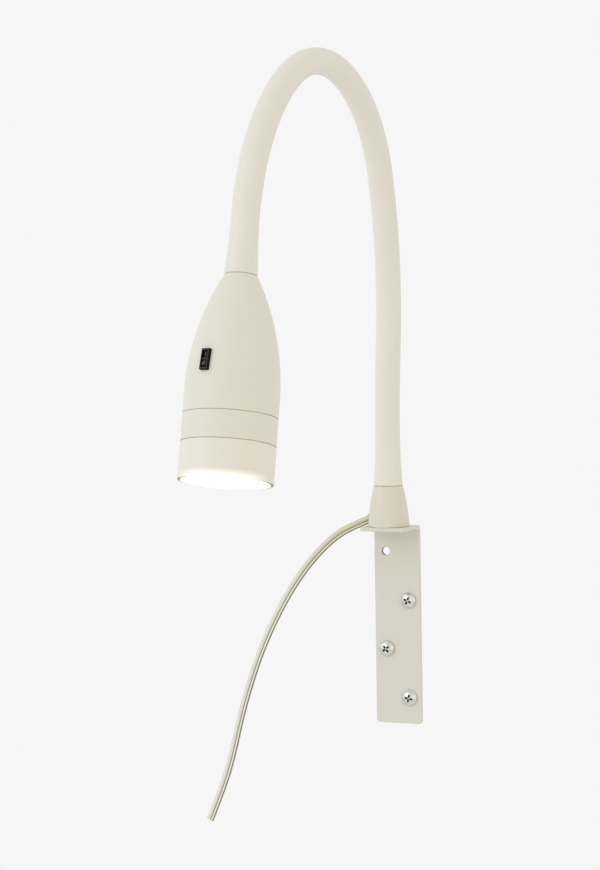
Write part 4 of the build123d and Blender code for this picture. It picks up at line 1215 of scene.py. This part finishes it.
def bezel_material(colours, out):
    """Moulded nylon, nearly black: a fine eroded texture and a low sheen.

    Its front face is painted a lighter brownish grey, as light falling on it.
    """
    shade = colours.switch_grey
    eroded = {"rough": (0.4, 0.55), "patch": 4.0, "grain": 0.3, "specular": 0.1}
    material = speckled("Moulded nylon bezel", shade, darker(shade, 0.2), **eroded)
    tree = material.node_tree
    normal = add_node(tree, "ShaderNodeTexCoord").outputs["Normal"]
    # Painted light on the bezel's front face.
    tint(material, share_along(tree, normal, out, BEZEL_FACING), colours.switch_highlight)
    return material


def rocker_material(colours, pivot, up):
    """Moulded polycarbonate, nearly black and smoother than the bezel.

    The rib between its two halves is painted a lighter grey, as a highlight along its ridge.
    """
    values = {"Roughness": 0.34, "Specular IOR Level": 0.1}
    material, tree, shader, place = bare_material("Moulded polycarbonate rocker", values)
    # Painted highlight along the rib between the two halves.
    offset = add_node(tree, "ShaderNodeVectorMath", {1: pivot}, {0: place}, operation="SUBTRACT")
    links = {0: offset.outputs["Vector"]}
    height = add_node(tree, "ShaderNodeVectorMath", {1: up}, links, operation="DOT_PRODUCT")
    apart = add_node(tree, "ShaderNodeMath", links={0: height.outputs["Value"]}, operation="ABSOLUTE")
    limits = {"From Min": ROCKER_RIB / 2, "From Max": ROCKER_RIB / 2 + RIB_HIGHLIGHT_FADE}
    face = add_node(tree, "ShaderNodeMapRange", limits, {"Value": apart.outputs["Value"]})
    shades = {MIX_FIRST: colours.switch_highlight, MIX_SECOND: colours.switch_black}
    tone = add_node(tree, "ShaderNodeMix", shades, {0: face.outputs["Result"]}, data_type="RGBA")
    speck = add_node(tree, "ShaderNodeTexNoise", {"Scale": 1 / (0.3 * MM), "Detail": 2.0}, {"Vector": place})
    values, links = {"Strength": 1.0, "Distance": 0.006 * MM}, {"Height": speck.outputs["Fac"]}
    eroded = add_node(tree, "ShaderNodeBump", values, links)
    feed(shader, {"Base Color": tone.outputs[MIX_RESULT], "Normal": eroded.outputs["Normal"]})
    return material


def mark_line(points):
    """A low rounded bead along a line on the rocker's face, in the face's own directions."""
    work = bmesh.new()
    rings = []
    closed = points[0] == points[-1]
    spots = points[:-1] if closed else points
    for index, spot in enumerate(spots):
        before = spots[index - 1] if closed or index else spot
        after = spots[(index + 1) % len(spots)] if closed or index + 1 < len(spots) else spot
        along = (Vector(after) - Vector(before)).normalized()
        side = Vector((-along.y, along.x))
        ring = []
        for k in range(MARK_FACETS):
            turn = math.tau * k / MARK_FACETS
            shift = side * (MARK_WIDTH / 2 * math.cos(turn))
            ring.append(work.verts.new((spot[0] + shift.x, spot[1] + shift.y, MARK_HEIGHT * math.sin(turn))))
        rings.append(ring)
    for low, high in zip(rings, rings[1:]):
        skin_between(work, low, high)
    if closed:
        skin_between(work, rings[-1], rings[0])
    else:
        work.faces.new(rings[0])
        work.faces.new(rings[-1])
    return work


class LAMP_OT_switch(bpy.types.Operator):
    """Rocker switch on the head, with a bar mark on one half and a ring mark on the other"""

    bl_idname = "lamp.switch"
    bl_label = "Rocker switch"

    def execute(self, context):
        colours = context.scene.lamp_colours
        pivot, across, up, out = switch_directions()
        dress("switch_housing", bezel_material(colours, out))
        dress("switch_rocker", rocker_material(colours, pivot, up))
        # Pad-printed ink: grey, thin and matt.
        ink = speckled("Pad printed ink", colours.marks, darker(colours.marks, 0.2), grain=0.2)
        tilt = math.radians(ROCKER_TILT)
        normal = out * math.cos(tilt) + up * math.sin(tilt)
        rise = normal.cross(across)
        dish = math.atan2(ROCKER_DIP, ROCKER_HALF - ROCKER_RIB / 2)
        lift = ROCKER_TOP - ROCKER_DIP + (MARK_PLACE - ROCKER_RIB / 2) * math.tan(dish)
        bar = [(0.0, place) for place in BAR_POINTS]
        turns = [math.tau * k / RING_POINTS for k in range(RING_POINTS)]
        ring = [(RING_RADII[0] * math.cos(turn), RING_RADII[1] * math.sin(turn)) for turn in turns]
        for name, line, half in (("bar", bar, 1), ("ring", ring + ring[:1], -1)):
            work = mark_line(line)
            face_up = rise * math.cos(dish) + normal * (half * math.sin(dish))
            face_out = normal * math.cos(dish) - rise * (half * math.sin(dish))
            middle = pivot + rise * (half * MARK_PLACE) + normal * lift
            turn = Matrix((across, face_up, face_out)).transposed().to_4x4()
            bmesh.ops.transform(work, matrix=Matrix.Translation(middle) @ turn, verts=work.verts)
            piece = new_piece(f"switch_mark_{name}", closed_mesh(f"switch_mark_{name}", work), ink)
            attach(piece, "rocker")
        return {"FINISHED"}


# Stage


def studio_world(levels):
    """Even room light, with a plain background wherever the camera, gloss or glass shows it."""
    world = bpy.data.worlds.new("Studio")
    world.use_nodes = True
    tree = world.node_tree
    tree.nodes.clear()
    ray = add_node(tree, "ShaderNodeLightPath").outputs
    seen = ray["Is Camera Ray"]
    for other in ("Is Glossy Ray", "Is Transmission Ray"):
        links = {0: seen, 1: ray[other]}
        seen = add_node(tree, "ShaderNodeMath", links=links, operation="MAXIMUM").outputs["Value"]
    white = {"Color": linear("#FFFFFF"), "Strength": levels.room_light}
    room = add_node(tree, "ShaderNodeBackground", white).outputs["Background"]
    pale = {"Color": levels.backdrop, "Strength": 1.0}
    plain = add_node(tree, "ShaderNodeBackground", pale).outputs["Background"]
    both = add_node(tree, "ShaderNodeMixShader", links={0: seen, 1: room, 2: plain})
    add_node(tree, "ShaderNodeOutputWorld", links={"Surface": both.outputs["Shader"]})
    return world


def paper_material(backdrop):
    """Matt paper sweep: plain and pale, and it keeps a trace of the lamp's shadow."""
    values = {"Base Color": backdrop, "Roughness": 0.9}
    material, tree, shader, place = bare_material("Pale paper sweep", values)
    ray = add_node(tree, "ShaderNodeLightPath").outputs["Is Camera Ray"]
    apart = add_node(tree, "ShaderNodeVectorMath", links={0: place}, operation="LENGTH").outputs["Value"]
    limits = dict(zip(("From Min", "From Max", "To Min", "To Max"), FLOOR_FADE + FLOOR_GLOW))
    blend = add_node(tree, "ShaderNodeMapRange", limits, {"Value": apart}).outputs["Result"]
    share = add_node(tree, "ShaderNodeMath", links={0: ray, 1: blend}, operation="MULTIPLY")
    glow = add_node(tree, "ShaderNodeEmission", {"Color": backdrop, "Strength": 1.0})
    links = {0: share.outputs["Value"], 1: shader.outputs["BSDF"], 2: glow.outputs["Emission"]}
    both = add_node(tree, "ShaderNodeMixShader", links=links)
    output = next(node for node in tree.nodes if node.type == "OUTPUT_MATERIAL")
    tree.links.new(both.outputs["Shader"], output.inputs["Surface"])
    return material


def soft_light(name, place, width, watts, shade):
    """A large square studio light."""
    data = bpy.data.lights.new(name, "AREA")
    data.shape = "SQUARE"
    data.size = width
    data.energy = watts
    data.color = shade[:3]
    light = new_piece(name, data)
    light.location = place
    light.rotation_mode = "QUATERNION"
    light.rotation_quaternion = (Vector(LIGHT_AIM) - Vector(place)).to_track_quat("-Z", "Y")


def photo_camera():
    """A camera to the right of the lamp, a little above it and slightly rolled."""
    azimuth, elevation = math.radians(CAMERA_AZIMUTH), math.radians(CAMERA_ELEVATION)
    roll = math.radians(CAMERA_ROLL)
    level = math.cos(elevation)
    back = Vector((math.sin(azimuth) * level, -math.cos(azimuth) * level, math.sin(elevation)))
    right = Vector((math.cos(azimuth), math.sin(azimuth), 0))
    up = back.cross(right)
    rolled_right = right * math.cos(roll) + up * math.sin(roll)
    rolled_up = up * math.cos(roll) - right * math.sin(roll)
    data = bpy.data.cameras.new("photo_camera")
    data.sensor_fit = "AUTO"
    data.angle = 2 * math.atan(PICTURE_HALF_HEIGHT / FOCAL_LENGTH)
    data.clip_start, data.clip_end = 0.05, 50
    camera = new_piece("photo_camera", data)
    place = Vector(CAMERA_AIM) * MM + back * CAMERA_DISTANCE * MM
    turn = Matrix((rolled_right, rolled_up, back)).transposed()
    camera.matrix_world = Matrix.Translation(place) @ turn.to_4x4()
    return camera


class LAMP_OT_stage(bpy.types.Operator):
    """Pale floor, even background, soft lights and the camera"""

    bl_idname = "lamp.stage"
    bl_label = "Stage"

    def execute(self, context):
        levels = context.scene.studio_levels
        context.scene.world = studio_world(levels)
        mesh = bpy.data.meshes.new("floor")
        sides = ((-1, -1), (1, -1), (1, 1), (-1, 1))
        corners = [(x * FLOOR_REACH, y * FLOOR_REACH, FLOOR_HEIGHT) for x, y in sides]
        mesh.from_pydata(corners, [], [(0, 1, 2, 3)])
        new_piece("floor", mesh, paper_material(levels.backdrop))
        soft_light("key_light", KEY_PLACE, KEY_WIDTH, levels.key_light, levels.key_shade)
        soft_light("edge_light", EDGE_PLACE, EDGE_WIDTH, levels.edge_light, levels.key_shade)
        soft_light("fill_light", FILL_PLACE, FILL_WIDTH, levels.fill_light, levels.fill_shade)
        context.scene.camera = photo_camera()
        context.scene.view_settings.view_transform = "Standard"
        return {"FINISHED"}


class LAMP_PT_panel(bpy.types.Panel):
    """The lamp's sizes, colours and pieces"""

    bl_label = "Wall reading lamp"
    bl_idname = "LAMP_PT_panel"
    bl_space_type = "VIEW_3D"
    bl_region_type = "UI"
    bl_category = "Lamp"

    def draw(self, context):
        for group in (context.scene.lamp_sizes, context.scene.lamp_colours, context.scene.studio_levels):
            box = self.layout.box()
            for name in group.__annotations__:
                box.prop(group, name)
        for operator in OPERATORS:
            self.layout.operator(operator.bl_idname)


GROUPS = {"lamp_sizes": LampSizes, "lamp_colours": LampColours, "studio_levels": StudioLevels}
OPERATORS = (
    LAMP_OT_stage,
    LAMP_OT_cord,
    LAMP_OT_bracket,
    LAMP_OT_painted_parts,
    LAMP_OT_sleeve,
    LAMP_OT_screws,
    LAMP_OT_switch,
    LAMP_OT_light_source,
    LAMP_OT_inner_parts,
)


def register():
    """Makes the lamp's settings, operators and panel known."""
    for name, group in GROUPS.items():
        bpy.utils.register_class(group)
        setattr(bpy.types.Scene, name, bpy.props.PointerProperty(type=group))
    for operator in OPERATORS:
        bpy.utils.register_class(operator)
    bpy.utils.register_class(LAMP_PT_panel)


def unregister():
    """Takes them away again."""
    bpy.utils.unregister_class(LAMP_PT_panel)
    for operator in reversed(OPERATORS):
        bpy.utils.unregister_class(operator)
    for name, group in reversed(GROUPS.items()):
        delattr(bpy.types.Scene, name)
        bpy.utils.unregister_class(group)


def main():
    """Builds the lamp's looks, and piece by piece."""
    register()
    bpy.ops.lamp.stage()
    bpy.ops.lamp.cord()
    bpy.ops.lamp.bracket()
    bpy.ops.lamp.painted_parts()
    bpy.ops.lamp.sleeve()
    bpy.ops.lamp.screws()
    bpy.ops.lamp.switch()
    bpy.ops.lamp.light_source()
    bpy.ops.lamp.inner_parts()


if __name__ == "__main__":
    main()
